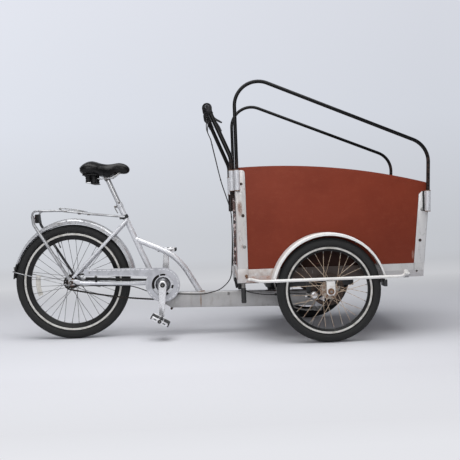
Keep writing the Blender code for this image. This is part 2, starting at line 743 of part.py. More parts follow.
def make_rack():
    parts = []
    way = seat_tube_direction()
    reach_y = SEAT_TUBE_R + RACK_TUBE_R + 0.002
    start = Vector((seat_tube_x(0.630), reach_y, 0.630))
    foot_y = DROPOUT_IN + DROPOUT_T + RACK_TUBE_R + SEAT_GAP
    for side in (-1, 1):
        corners = [start, (0.120, 0.052, 0.650), (-0.040, RACK_HALF_W, RACK_Z),
                   (-0.186, RACK_HALF_W, RACK_Z + 0.003), (-0.178, RACK_HALF_W, 0.606),
                   (-0.004, foot_y, REAR_WHEEL_R + 0.015)]
        corners = [(c[0], side * c[1], c[2]) for c in corners]
        parts.append(tube(bent(corners, [0.08, 0.08, 0.022, 0.04], 2), RACK_TUBE_R, 6))
    for x, half, z in ((-0.130, RACK_HALF_W, RACK_Z + 0.002), (-0.040, RACK_HALF_W - 0.001, RACK_Z - 0.001),
                       (0.070, 0.056, 0.6565)):
        parts.append(cylinder(RACK_TUBE_R * 0.8, (x, -half, z), (x, half, z), 6))
    ring_low = start + way * -0.009 - Vector((0, start.y, 0))
    ring_high = start + way * 0.009 - Vector((0, start.y, 0))
    parts.append(pipe(SEAT_TUBE_R + 0.004, SEAT_TUBE_R + SEAT_GAP, ring_low, ring_high, 16))
    piece("rear_rack", "chrome", "frame", combined(parts))


def make_tail_reflector():
    plate = box((-0.182, -0.022, 0.618), (-0.166, 0.022, 0.656))
    half = RACK_HALF_W - RACK_TUBE_R * math.cos(math.pi / 6) - SEAT_GAP
    bar = cylinder(0.004, (-0.181, -half, 0.640), (-0.181, half, 0.640), 8)
    piece("tail_reflector", "reflector_red", "frame", combined([plate, bar]))


def chain_path():
    """The chain's centre line round both toothed wheels, as an open list of points."""
    ring_r = CHAINRING_R + CHAIN_CLEAR + CHAIN_H / 2
    cog_r = SPROCKET_R + CHAIN_CLEAR + CHAIN_H / 2
    ring = Vector((BB_X, 0, BB_Z))
    cog = Vector((0, 0, REAR_WHEEL_R))
    slope = math.atan2(ring.z - cog.z, ring.x - cog.x)
    wrap = math.asin((ring_r - cog_r) / (ring - cog).length)
    top = math.pi / 2 + wrap + slope
    low = -math.pi / 2 - wrap + slope
    points = []
    for i in range(13):
        angle = top + (low - top) * i / 12
        points.append(ring + Vector((math.cos(angle), 0, math.sin(angle))) * ring_r)
    low_cog = cog + Vector((math.cos(low), 0, math.sin(low))) * cog_r
    start = points[-1]
    for i in range(1, 6):
        sag = 0.010 * math.sin(math.pi * i / 6)
        points.append(start.lerp(low_cog, i / 6) - Vector((0, 0, sag)))
    for i in range(9):
        angle = low + (top - math.tau - low) * i / 8
        points.append(cog + Vector((math.cos(angle), 0, math.sin(angle))) * cog_r)
    return points


def make_chain():
    points = chain_path()
    count = len(points)
    bm = bmesh.new()
    rings = []
    for i, point in enumerate(points):
        tangent = (points[(i + 1) % count] - points[i - 1]).normalized()
        out = tangent.cross(Vector((0, 1, 0)))
        ring = []
        for across, along in ((-1, -1), (1, -1), (1, 1), (-1, 1)):
            offset = out * across * CHAIN_H / 2 + Vector((0, CHAIN_Y + along * CHAIN_W / 2, 0))
            ring.append(bm.verts.new(point + offset))
        rings.append(ring)
    add_faces(bm, rings, True)
    piece("chain", "rusty_steel", "frame", bm, smooth=False)


def make_chain_guard():
    """A plate round the chainwheel with a tail along the chain's upper run."""
    centre = Vector((BB_X, 0, BB_Z))
    rear = REAR_WHEEL_R
    tail = [(0.415, BB_Z + 0.0924), (0.200, rear + 0.0655), (0.072, rear + 0.067), (0.066, rear + 0.050),
            (0.076, rear + 0.031), (0.200, rear + 0.028), (0.400, BB_Z + 0.0464)]
    ring = lathe([(GUARD_HOLE_R, 0), (GUARD_R, 0), (GUARD_R, GUARD_T), (GUARD_HOLE_R, GUARD_T)],
                 centre + Vector((0, GUARD_Y - GUARD_T / 2, 0)), "Y", 28)
    strip = prism(tail, "Y", GUARD_Y - GUARD_T / 2, GUARD_Y + GUARD_T / 2)
    hole = cylinder(GUARD_HOLE_R, centre + Vector((0, -0.1, 0)), centre + Vector((0, 0.1, 0)), 28)
    low = stay_at(-1, 0.130).z - 0.0035
    tab = box((0.120, GUARD_Y - GUARD_T / 2, low), (0.140, GUARD_Y + GUARD_T / 2, rear + 0.040))
    foot = box((0.120, GUARD_Y, low), (0.140, -DROPOUT_IN, low + 0.0015))
    solid = combined([ring, combined([strip], [hole]), tab, foot],
                     [chainstay(-1, STAY_R + SEAT_GAP)])
    piece("chain_guard", "silver_paint", "frame", solid)


def make_brake_arm():
    """The coaster hub's arm, which a clip holds to the left stay."""
    y = 0.0415
    z = REAR_WHEEL_R
    eye = pipe(0.016, REAR_AXLE_R + SEAT_GAP, (0, y - 0.0005, z), (0, y + 0.0045, z), 12)
    held = stay_at(1, 0.124).z
    arm = prism([(0.006, z - 0.010), (0.130, held - 0.033), (0.132, held - 0.021), (0.006, z + 0.009)],
                "Y", y, y + 0.004)
    clip = stay_clip(1, 0.116, 0.014, 0.003, 12)
    tail = box((0.118, y + 0.001, held - 0.029), (0.130, y + 0.013, held - 0.0118))
    piece("brake_arm", "steel", "frame", combined([eye, arm, tail, clip]))


def crank_end(side):
    """Where the pedal's axle is; the right arm points down."""
    tilt = math.radians(CRANK_TILT_DEG)
    x = CRANK_L * math.sin(tilt)
    z = CRANK_L * math.cos(tilt)
    return Vector((BB_X - x, 0, BB_Z - z)) if side < 0 else Vector((BB_X + x, 0, BB_Z + z))


def crank_arm(side):
    """A tapered forged arm with a round boss at each end."""
    outer = CRANK_IN_Y + CRANK_T
    low = min(side * CRANK_IN_Y, side * outer)
    high = max(side * CRANK_IN_Y, side * outer)
    outline = []
    for middle, radius, first in ((0.0, 0.019, 12), (-CRANK_L, 0.0125, 192)):
        for i in range(6):
            angle = math.radians(first + 156 * i / 5)
            outline.append((BB_X + radius * math.cos(angle), BB_Z + middle + radius * math.sin(angle)))
    arm = prism(outline, "Y", low, high)
    return turned(arm, CRANK_TILT_DEG if side < 0 else 180 + CRANK_TILT_DEG, (BB_X, 0, BB_Z))


def make_cranks():
    ring_low = CHAIN_Y - 0.0012
    ring_high = CHAIN_Y + 0.0012
    ring = lathe([(0, ring_low), (CHAINRING_R, ring_low), (CHAINRING_R, ring_high), (0, ring_high)],
                 (BB_X, 0, BB_Z), "Y", 28)
    holes = []
    for i in range(5):
        angle = math.tau * (i + 0.5) / 5
        x = BB_X + 0.047 * math.cos(angle)
        z = BB_Z + 0.047 * math.sin(angle)
        holes.append(cylinder(0.016, (x, -0.1, z), (x, 0.0, z), 7))
    end = CRANK_IN_Y + CRANK_T
    spindle = cylinder(SPINDLE_R, (BB_X, -end + 0.001, BB_Z), (BB_X, CRANK_IN_Y - SEAT_GAP, BB_Z), 12)
    collar = cylinder(0.020, (BB_X, -CRANK_IN_Y - 0.001, BB_Z), (BB_X, ring_low + 0.0005, BB_Z), 12)
    right = combined([combined([ring], holes), collar, spindle, crank_arm(-1)])
    piece("crank_right", "silver_paint", "crank", right)
    piece("crank_left", "silver_paint", "crank", crank_arm(1))


def make_pedal(side, word, tilt):
    """Two ribbed treads carried on a tube between end plates."""
    centre = crank_end(side)
    near = CRANK_IN_Y + CRANK_T + 0.012
    far = near + PEDAL_W
    axle_low = CRANK_IN_Y + CRANK_T + SEAT_GAP
    parts = [cylinder(0.0105, (centre.x, near, centre.z), (centre.x, far, centre.z), 12),
             cylinder(0.0055, (centre.x, axle_low, centre.z), (centre.x, near + 0.01, centre.z), 8)]
    half_l = PEDAL_L / 2
    half_h = PEDAL_H / 2
    for y in (near, far - 0.003):
        parts.append(box((centre.x - half_l + 0.004, y, centre.z - half_h + 0.003),
                         (centre.x + half_l - 0.004, y + 0.003, centre.z + half_h - 0.003)))
    for end in (-1, 1):
        low_x = min(end * half_l, end * (half_l - 0.034)) + centre.x
        parts.append(box((low_x, near + 0.002, centre.z - half_h),
                         (low_x + 0.034, far - 0.002, centre.z + half_h)))
    solid = combined(parts)
    if side < 0:
        mirrored(solid)
    turned(solid, tilt, centre)
    piece("pedal_" + word, "black_paint", "pedal_" + word, solid)


def saddle_section(x, low, high, half):
    """One cross-section of the saddle: a flat belly and a crowned top."""
    points = []
    middle = low + (high - low) * 0.45
    for i in range(12):
        angle = math.tau * i / 12
        c = math.cos(angle)
        s = math.sin(angle)
        y = half * math.copysign(abs(c) ** 0.75, c)
        z = middle + (high - middle if s > 0 else middle - low) * math.copysign(abs(s) ** 0.8, s)
        points.append((x, y, z))
    return points


def make_saddle():
    stations = [(0.056, 0.872, 0.886, 0.050), (0.072, 0.860, 0.908, 0.086),
                (0.110, 0.850, 0.925, 0.100), (0.150, 0.848, 0.917, 0.092),
                (0.195, 0.852, 0.907, 0.058), (0.240, 0.862, 0.911, 0.034),
                (0.285, 0.862, 0.908, 0.027), (0.310, 0.868, 0.896, 0.020),
                (0.318, 0.876, 0.887, 0.010)]
    bm = bmesh.new()
    rings = [[bm.verts.new(p) for p in saddle_section(*s)] for s in stations]
    add_faces(bm, rings, False)
    piece("saddle", "saddle_cover", "frame", bm)
    way = seat_tube_direction()
    top = Vector((seat_tube_x(SEAT_POST_TOP_Z), 0, SEAT_POST_TOP_Z))
    parts = [cylinder(0.0165, top + way * 0.0003, top + way * 0.018, 12)]
    clamp = top + way * 0.010
    parts.append(cylinder(0.009, clamp + Vector((-0.006, -0.030, 0.002)), clamp + Vector((-0.006, 0.030, 0.002)), 10))
    for side in (-1, 1):
        y = side * 0.022
        rail = bent([(0.275, side * 0.008, 0.8575), (0.235, y, 0.836), (0.105, y, 0.834),
                     (0.090, side * 0.034, 0.8485)], 0.012, 2)
        parts.append(tube(rail, 0.0035, 5))
    parts.append(box((0.078, -0.042, 0.8285), (0.100, 0.042, 0.8475)))
    parts.append(box((0.262, -0.014, 0.855), (0.280, 0.014, 0.8615)))
    piece("saddle_frame", "steel", "frame", combined(parts))


def box_half(z):
    return BOX_HALF_W + BOX_FLARE * (z - BOX_LOW_Z)


def box_front(z):
    return BOX_FRONT_X + BOX_LEAN * (z - BOX_LOW_Z)


def lean(bm, forward):
    """Leans an upright solid of the box: sides flare outwards, the front leans forward."""
    for vert in bm.verts:
        rise = vert.co.z - BOX_LOW_Z
        vert.co.y += math.copysign(BOX_FLARE * rise, vert.co.y)
        if forward:
            vert.co.x += BOX_LEAN * rise
    return bm


def frustum(inset, low, high):
    """The box's outer form between two heights, made smaller all round by inset."""
    bm = bmesh.new()
    rings = []
    for z in (low, high):
        y = box_half(z) - inset
        back = BOX_REAR_X + inset
        front = box_front(z) - inset
        rings.append([bm.verts.new(p) for p in
                      ((back, -y, z), (front, -y, z), (front, y, z), (back, y, z))])
    add_faces(bm, rings, False)
    return bm


SKIN = PROFILE_T + SEAT_GAP
FLOOR_Z = BOX_LOW_Z + PROFILE_T + SEAT_GAP


def arc_z(x):
    """The side panel's top edge, an arc of a large circle."""
    return ARC_TOP_Z - ARC_R + math.sqrt(ARC_R ** 2 - (x - ARC_TOP_X) ** 2)


def side_panel():
    back = BOX_REAR_X + SKIN
    front_low = box_front(FLOOR_Z) - SKIN
    outline = [(back, FLOOR_Z), (front_low, FLOOR_Z)]
    front_top = front_low
    for _ in range(6):
        front_top = box_front(arc_z(front_top)) - SKIN
    steps = 16
    for i in range(steps + 1):
        x = front_top + (back - front_top) * i / steps
        outline.append((x, arc_z(x)))
    y = BOX_HALF_W - SKIN
    return lean(prism(outline, "Y", -y, -y + PANEL_T), False)


def make_box():
    ring = combined([frustum(0, BOX_LOW_Z, BOX_LOW_Z + RAIL_H)],
                    [frustum(PROFILE_T, BOX_LOW_Z + PROFILE_T, BOX_LOW_Z + RAIL_H + 0.01),
                     frustum(PROFILE_T + 0.040, BOX_LOW_Z - 0.01, BOX_LOW_Z + 0.02)])
    piece("bottom_rail", "aluminium", "front_unit", ring)
    both_sides("panel", "red_board", "front_unit", side_panel)
    inset = SKIN + PANEL_T + SEAT_GAP
    floor_board = frustum(inset, FLOOR_Z, FLOOR_Z + PANEL_T)
    piece("box_floor", "red_board", "front_unit", floor_board)
    y = BOX_HALF_W - inset
    back = BOX_REAR_X + SKIN
    rear = lean(box((back, -y, FLOOR_Z), (back + PANEL_T - 0.0001, y, REAR_PANEL_TOP_Z)), False)
    piece("panel_rear", "red_board", "front_unit", rear)
    ahead = BOX_FRONT_X - SKIN
    front = lean(box((ahead - PANEL_T + 0.0001, -y, FLOOR_Z), (ahead, y, FRONT_PANEL_TOP_Z)), True)
    piece("panel_front", "red_board", "front_unit", front)


def angle_profile(corner_x, forward, top):
    """An upright angle of sheet over one corner of the box, on the right side."""
    w = PROFILE_W * (-1 if forward else 1)
    t = PROFILE_T * (-1 if forward else 1)
    y = -BOX_HALF_W
    low = BOX_LOW_Z + RAIL_H + SEAT_GAP
    outline = [(corner_x, y), (corner_x + w, y), (corner_x + w, y + PROFILE_T),
               (corner_x + t, y + PROFILE_T), (corner_x + t, y + PROFILE_W), (corner_x, y + PROFILE_W)]
    return lean(prism(outline, "Z", low, top), forward)


def hoop_foot_at(z):
    """The front post of a hoop leans a little; this is its centre line's X."""
    share = (z - HOOP_FOOT_Z) / (HOOP_FRONT_Z - HOOP_FOOT_Z)
    return HOOP_FOOT_X + share * (HOOP_FRONT_X - HOOP_FOOT_X)


def rear_corner():
    low = SLEEVE_LOW_Z
    high = SLEEVE_LOW_Z + SLEEVE_L
    bar_x = BOX_REAR_X - BAR_SLEEVE_R + 0.0015
    web_out = -BOX_HALF_W - 0.011
    web = lean(box((HOOP_REAR_X - 0.006, web_out, low), (HOOP_REAR_X + 0.006, -BOX_HALF_W + 0.002, high)),
               False)
    parts = [angle_profile(BOX_REAR_X, False, REAR_PROFILE_TOP_Z),
             cylinder(BAR_SLEEVE_R, (bar_x, -BAR_Y, low), (bar_x, -BAR_Y, high), 12),
             web, cylinder(HOOP_SLEEVE_R, (HOOP_REAR_X, -HOOP_Y, low), (HOOP_REAR_X, -HOOP_Y, high), 12)]
    bores = [cylinder(round_hole(BAR_R, 12), (bar_x, -BAR_Y, low - 0.01), (bar_x, -BAR_Y, high + 0.01), 12),
             cylinder(round_hole(HOOP_R, 12), (HOOP_REAR_X, -HOOP_Y, low + 0.004),
                      (HOOP_REAR_X, -HOOP_Y, high + 0.01), 12)]
    return combined(parts, bores)


def front_corner():
    low = HOOP_FOOT_Z
    high = HOOP_FOOT_Z + SLEEVE_L
    a = Vector((hoop_foot_at(low), -HOOP_Y, low))
    b = Vector((hoop_foot_at(high), -HOOP_Y, high))
    web_out = -BOX_HALF_W - 0.014
    web = lean(box((a.x - 0.005, web_out, low + 0.002), (a.x + 0.007, -BOX_HALF_W + 0.002, high - 0.006)),
               False)
    parts = [angle_profile(BOX_FRONT_X, True, FRONT_PROFILE_TOP_Z), web,
             cylinder(HOOP_SLEEVE_R, a, b, 12)]
    way = (b - a).normalized()
    bore = cylinder(round_hole(HOOP_R, 12), a + way * 0.004, b + way * 0.01, 12)
    return combined(parts, [bore])


def hoop():
    foot = Vector((HOOP_FOOT_X, -HOOP_Y, HOOP_FOOT_Z))
    top = Vector((HOOP_FRONT_X, -HOOP_Y, HOOP_FRONT_Z))
    end = foot + (top - foot).normalized() * 0.0045
    corners = [(HOOP_REAR_X, -HOOP_Y, SLEEVE_LOW_Z + 0.0045), (HOOP_REAR_X, -HOOP_Y, HOOP_PEAK_Z),
               top, end]
    return tube(bent(corners, HOOP_BEND_R, 5), HOOP_R)


def grip_and_lever():
    """A grip's length, and how far out from the middle a lever's clamp sits."""
    straight = BAR_TOP_Y - BAR_BEND_Y
    grip_l = straight * GRIP_SHARE
    return grip_l, straight - grip_l - 0.014


def make_handlebar():
    bar_x = BOX_REAR_X - BAR_SLEEVE_R + 0.0015
    back = (BAR_TOP_Z - BAR_BEND_Z) * math.tan(math.radians(BAR_LEAN_DEG))
    right = [(bar_x, -BAR_Y, BAR_FOOT_Z), (bar_x, -BAR_Y, BAR_BEND_Z),
             (bar_x - back, -BAR_TOP_Y, BAR_TOP_Z)]
    left = [(x, -y, z) for x, y, z in reversed(right)]
    path = bent(right + left, [0.10, 0.055, 0.055, 0.10], 4)
    piece("handlebar", "black_paint", "front_unit", tube(path, BAR_R))
    x = bar_x - back
    grip_l, lever_y = grip_and_lever()
    for side, word in ((-1, "right"), (1, "left")):
        start = (x, side * (BAR_TOP_Y - BAR_BEND_Y), BAR_TOP_Z)
        end = (x, side * (BAR_TOP_Y - BAR_BEND_Y - grip_l), BAR_TOP_Z)
        piece("grip_" + word, "foam", "front_unit", pipe(GRIP_R, BAR_R + SEAT_GAP, start, end, 14))
        y = side * lever_y
        clamp = pipe(BAR_R + 0.005, BAR_R + SEAT_GAP, (x, y - 0.009, BAR_TOP_Z),
                     (x, y + 0.009, BAR_TOP_Z), 14)
        blade = bent([(x + 0.010, y, BAR_TOP_Z - 0.012), (x + 0.046, y, BAR_TOP_Z - 0.040),
                      (x + 0.050, y + side * 0.110, BAR_TOP_Z - 0.056)], 0.016, 3)
        lever = combined([clamp, tube(blade, 0.006, 8)])
        piece("brake_lever_" + word, "black_paint", "front_unit", lever)


def make_underframe():
    """Cross bars and rails under the floor, and the pin that turns in the steering head."""
    top = BOX_LOW_Z - SEAT_GAP
    low = HEAD_HIGH_Z + 0.003
    reach = BOX_HALF_W - 0.010
    parts = []
    for x, half in ((0.0, 0.025), (-CROSS_BACK, 0.012), (CROSS_AHEAD, 0.012)):
        parts.append(box((WHEELBASE + x - half, -reach, low), (WHEELBASE + x + half, reach, top)))
    for side in (-1, 1):
        inner = side * 0.085
        outer = side * 0.115
        parts.append(box((BOX_REAR_X + 0.008, min(inner, outer), low + 0.001),
                         (BOX_FRONT_X - 0.016, max(inner, outer), top - 0.0005)))
    piece("underframe", "black_paint", "front_unit", combined(parts))
    pin = cylinder(HEAD_BORE_R - RUNNING_GAP, (WHEELBASE, 0, HEAD_LOW_Z - 0.004),
                   (WHEELBASE, 0, low - SEAT_GAP), 24)
    nut = cylinder(0.022, (WHEELBASE, 0, HEAD_LOW_Z - 0.016), (WHEELBASE, 0, HEAD_LOW_Z - 0.002), 6)
    piece("steering_pin", "steel", "front_unit", combined([pin, nut]))


def stop_peg():
    z = BOX_LOW_Z - SEAT_GAP
    x = BOX_REAR_X + 0.030
    y = -(BOX_HALF_W - 0.0165)
    return lathe([(0, PEG_LOW_Z), (PEG_R - 0.003, PEG_LOW_Z), (PEG_R, PEG_LOW_Z + 0.003),
                  (PEG_R, z - 0.012), (0.008, z - 0.010), (0.008, z), (0, z)], (x, y, 0), "Z", 12)


def axle():
    """The right front wheel's axle, with its bracket under the box and its outer plate."""
    z = FRONT_WHEEL_R
    x = WHEELBASE
    top = BOX_LOW_Z - SEAT_GAP
    outline = [(x - 0.100, top), (x - 0.095, z - 0.040), (x - 0.045, z - 0.050), (x + 0.010, z - 0.022),
               (x + 0.045, top)]
    bracket = prism(outline, "Y", -BOX_HALF_W, -BOX_HALF_W + BRACKET_T)
    inner_y = -BOX_HALF_W + BRACKET_T - 0.001
    plate_y = -SIDE_BAR_Y
    bar_low = SIDE_BAR_Z - SIDE_BAR_R - SEAT_GAP
    half = AXLE_PLATE_W / 2
    plate_out = [(x - half, bar_low), (x - half, z - 0.008), (x - half + 0.008, z - 0.018),
                 (x + half - 0.008, z - 0.018), (x + half, z - 0.008), (x + half, bar_low)]
    plate = prism(plate_out, "Y", plate_y - AXLE_PLATE_T / 2, plate_y + AXLE_PLATE_T / 2)
    rod = cylinder(FRONT_AXLE_R, (x, inner_y, z), (x, plate_y - 0.014, z), 16)
    collar_y = -HALF_TRACK + 0.0465
    collar = cylinder(0.011, (x, -BOX_HALF_W + 0.001, z), (x, collar_y, z), 12)
    nut = cylinder(0.0135, (x, plate_y - 0.001, z), (x, plate_y - 0.011, z), 6)
    return combined([bracket, rod, plate, collar, nut])


def side_bar():
    y = -SIDE_BAR_Y
    z = SIDE_BAR_Z
    wall = -(box_half(z) + SIDE_BAR_R + SEAT_GAP)
    places = [(-0.404, wall), (-0.366, wall), (-0.324, y), (0.344, y), (0.384, wall), (0.422, wall)]
    corners = [(WHEELBASE + x, across, z) for x, across in places]
    return tube(bent(corners, [0.03, 0.04, 0.04, 0.03], 2), SIDE_BAR_R)


def front_fender():
    """A mudguard with a turned-down outer edge, whose inner edge lies against the box."""
    out = -FRONT_FENDER_OUT
    inn = -0.330
    t = 0.0016
    r = FRONT_FENDER_R
    profile = [(FRONT_FENDER_EDGE_R, out), (r - 0.004, out), (r, out + 0.006), (r, inn),
               (r - t, inn), (r - t, out + 0.006 + t), (r - 0.004 - t, out + t),
               (FRONT_FENDER_EDGE_R, out + t)]
    bm = arc_sheet(profile, (WHEELBASE, FRONT_WHEEL_R), 4.0, 168.0, 18)
    for vert in bm.verts:
        if abs(vert.co.y - inn) < 1e-6:
            vert.co.y = -(box_half(vert.co.z) + SEAT_GAP)
    return bm


def caliper():
    """A brake caliper whose jaws straddle the disc, bolted to the axle's bracket."""
    x = WHEELBASE - 0.066
    z = FRONT_WHEEL_R - 0.0255
    disc_y = -HALF_TRACK + DISC_IN
    near = -BOX_HALF_W - SEAT_GAP
    body = cylinder(0.019, (x, near, z), (x, disc_y - 0.016, z), 16)
    gap = DISC_T / 2 + DISC_GAP
    slot = cylinder(DISC_R + DISC_GAP, (WHEELBASE, disc_y - gap, FRONT_WHEEL_R),
                    (WHEELBASE, disc_y + gap, FRONT_WHEEL_R), 36)
    return combined([body], [slot])


def with_box(points):
    """Cable points moved along with the levers near the middle, and with the box near its walls."""
    lever_y = grip_and_lever()[1]
    wider = BOX_HALF_W - ROUTE_HALF_W
    knots = ((0.0, 0.0), (ROUTE_LEVER_Y, lever_y), (0.250, 0.250 + wider), (0.500, 0.500 + wider))
    placed = []
    for x, y, z in points:
        for (a, new_a), (b, new_b) in zip(knots, knots[1:]):
            if a <= abs(y) <= b:
                reach = new_a + (new_b - new_a) * (abs(y) - a) / (b - a)
        placed.append(Vector((x + WHEELBASE - ROUTE_AXIS_X, math.copysign(reach, y), z)))
    return placed


def make_brake_cable():
    """From the right lever down the corner to a splitter under the box, and on to both calipers."""
    down = [(0.7480, -0.0455, 1.1447), (0.7490, -0.020, 1.1430), (0.7475, -0.003, 1.1360),
            (0.7440, 0.004, 1.1220), (0.7395, -0.004, 1.1040), (0.7370, -0.024, 1.0880),
            (0.7350, -0.090, 1.0530), (0.7400, -0.175, 1.0240), (0.7510, -0.255, 0.9900),
            (0.7570, -0.282, 0.9600), (0.7660, -0.298, 0.9150), (0.7920, -0.317, 0.7880),
            (0.8140, -0.322, 0.7120), (0.8290, -0.322, 0.6600), (0.8370, -0.318, 0.6100),
            (0.8380, -0.306, 0.5000), (0.8360, -0.294, 0.4000), (0.8380, -0.284, 0.3400),
            (0.8440, -0.274, 0.2970), (0.8590, -0.266, 0.2720), (0.8850, -0.262, 0.2615),
            (0.9300, -0.262, 0.2600), (1.0040, -0.262, 0.2620), (1.0700, -0.264, 0.2600),
            (1.1200, -0.290, 0.2500), (1.1600, -0.3075, 0.2350), (1.1980, -0.3090, 0.2250)]
    across = [(1.0500, -0.2632, 0.2606), (1.0750, -0.252, 0.2570), (1.0920, -0.220, 0.2520),
              (1.1000, -0.150, 0.2460), (1.1000, 0.150, 0.2460), (1.0980, 0.225, 0.2520),
              (1.1080, 0.265, 0.2540), (1.1280, 0.293, 0.2470), (1.1600, 0.3075, 0.2350),
              (1.1980, 0.3090, 0.2250)]
    low, high = with_box([(1.034, -0.2629, 0.2607), (1.062, -0.2637, 0.2603)])
    splitter = cylinder(0.0055, low, high, 8)
    parts = [tube(with_box(down), CABLE_R, 5), splitter, tube(with_box(across), CABLE_R, 5)]
    piece("brake_cable", "cable_housing", "front_unit", combined(parts))


def make_gear_cable():
    """From the handlebar down the corner, in a loop to the beam, and under the stay to the hub."""
    loop = [(0.7377, -0.020, 1.1408), (0.7330, -0.027, 1.1180), (0.7295, -0.045, 1.0900),
            (0.7290, -0.085, 1.0600), (0.7350, -0.170, 1.0280), (0.7450, -0.250, 0.9950),
            (0.7510, -0.278, 0.9640), (0.7590, -0.293, 0.9150), (0.7860, -0.312, 0.7880),
            (0.8080, -0.316, 0.7120), (0.8220, -0.315, 0.6600), (0.8300, -0.310, 0.6100),
            (0.8315, -0.298, 0.5000), (0.8290, -0.286, 0.4000), (0.8290, -0.276, 0.3500),
            (0.8230, -0.258, 0.3150), (0.8090, -0.230, 0.2890)]
    loop = with_box(loop)
    loop += [(0.7900, -0.192, 0.2660),
            (0.7700, -0.147, 0.2470), (0.7480, -0.103, 0.2330), (0.7230, -0.066, 0.2230),
            (0.6950, -0.042, 0.2150), (0.6600, -0.0334, 0.2115), (0.5500, -0.0334, 0.2165),
            (0.4500, -0.0336, 0.2190), (0.4100, -0.0350, 0.2260), (0.3750, -0.0360, 0.2440)]
    drop = Vector((0, 0, -(STAY_R + CABLE_R + 0.0005)))
    under = [stay_at(-1, x) + drop for x in (STAY_KINK_X, 0.200, 0.105)]
    last = DROPOUT_IN + DROPOUT_T + CABLE_R + 0.0006
    end = [(0.078, -last + 0.005, REAR_WHEEL_R - 0.0195), (0.052, -last - 0.0005, REAR_WHEEL_R - 0.0178),
           (0.034, -last - 0.001, REAR_WHEEL_R - 0.0140), (0.020, -last - 0.002, REAR_WHEEL_R - 0.0070),
           (0.0102, -last - 0.002, REAR_WHEEL_R - 0.0010)]
    piece("gear_cable", "cable_housing", "frame", tube(loop + under + end, CABLE_R, 5))


def build():
    clear_scene()
    make_materials()
    make_body("frame", (0, 0, 0))
    make_body("rear_wheel", (0, 0, REAR_WHEEL_R), "frame")
    make_body("crank", (BB_X, 0, BB_Z), "frame")
    pedal_y = CRANK_IN_Y + CRANK_T + 0.012 + PEDAL_W / 2
    make_body("pedal_right", crank_end(-1) + Vector((0, -pedal_y, 0)), "crank")
    make_body("pedal_left", crank_end(1) + Vector((0, pedal_y, 0)), "crank")
    make_body("front_unit", (WHEELBASE, 0, 0), "frame")
    make_body("front_wheel_right", (WHEELBASE, -HALF_TRACK, FRONT_WHEEL_R), "front_unit")
    make_body("front_wheel_left", (WHEELBASE, HALF_TRACK, FRONT_WHEEL_R), "front_unit")

    make_beam()
    make_seat_tube()
    make_top_tube()
    make_bottom_bracket()
    make_stays()
    make_rear_axle()
    make_rear_fender()
    make_fender_stay()
    make_rack()
    make_tail_reflector()
    make_chain()
    make_chain_guard()
    make_brake_arm()
    make_saddle()
    make_rear_wheel()
    make_cranks()
    make_pedal(-1, "right", PEDAL_R_TILT_DEG)
    make_pedal(1, "left", 0.0)

    make_box()
    both_sides("corner_rear", "aluminium", "front_unit", rear_corner)
    both_sides("corner_front", "aluminium", "front_unit", front_corner)
    both_sides("hoop", "black_paint", "front_unit", hoop)
    make_handlebar()
    make_underframe()
    both_sides("stop_peg", "black_paint", "front_unit", stop_peg)
    both_sides("axle", "aluminium", "front_unit", axle)
    both_sides("side_bar", "chrome", "front_unit", side_bar)
    both_sides("fender", "aluminium", "front_unit", front_fender)
    both_sides("caliper", "steel", "front_unit", caliper)
    make_front_wheel(-1, "right")
    make_front_wheel(1, "left")
    make_brake_cable()
    make_gear_cable()
    centre_lengthways("frame")


build()
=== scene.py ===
"""The looks of a cargo tricycle with a front load box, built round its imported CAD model.

Every piece is made in metres, with X measured from the rear axle, and is then moved to the
model's own place along X. Laid out as an add-on; run as a script it builds everything once.
"""

import json
import math
from math import atan2, cos, pi, radians, sin, tan, tau

import bmesh
import bpy
from mathutils import Matrix, Vector


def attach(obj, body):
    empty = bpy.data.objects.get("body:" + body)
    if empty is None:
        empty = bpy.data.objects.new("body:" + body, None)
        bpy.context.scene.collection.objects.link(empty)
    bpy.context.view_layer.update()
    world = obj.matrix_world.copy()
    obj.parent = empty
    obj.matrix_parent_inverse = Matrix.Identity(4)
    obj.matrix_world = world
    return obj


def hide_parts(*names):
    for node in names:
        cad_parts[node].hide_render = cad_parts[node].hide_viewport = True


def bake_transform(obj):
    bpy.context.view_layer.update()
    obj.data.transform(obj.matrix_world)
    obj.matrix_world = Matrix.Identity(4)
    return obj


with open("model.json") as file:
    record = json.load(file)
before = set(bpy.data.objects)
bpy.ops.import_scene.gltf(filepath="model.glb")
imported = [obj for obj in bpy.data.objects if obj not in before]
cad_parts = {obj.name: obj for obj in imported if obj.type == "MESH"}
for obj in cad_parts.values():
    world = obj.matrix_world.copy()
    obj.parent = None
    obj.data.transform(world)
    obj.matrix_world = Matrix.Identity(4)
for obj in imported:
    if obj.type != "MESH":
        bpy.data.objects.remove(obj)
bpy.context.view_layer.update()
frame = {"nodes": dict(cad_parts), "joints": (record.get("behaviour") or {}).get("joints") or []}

bl_info = {"name": "Cargo tricycle looks", "version": (1, 0, 0), "blender": (4, 5, 0),
    "location": "3D View > Sidebar > Tricycle",
    "description": "Builds the visual pieces and finishes of a cargo tricycle round its CAD frame",
    "category": "Object",}


def at(x, y, z):
    return Vector((x, y, z))


def wheel_way(angle):
    """The way out from an axle along Y, at an angle in radians from straight ahead."""
    return at(cos(angle), 0, sin(angle))


# ---- Places of the CAD model, in metres from the rear axle ----

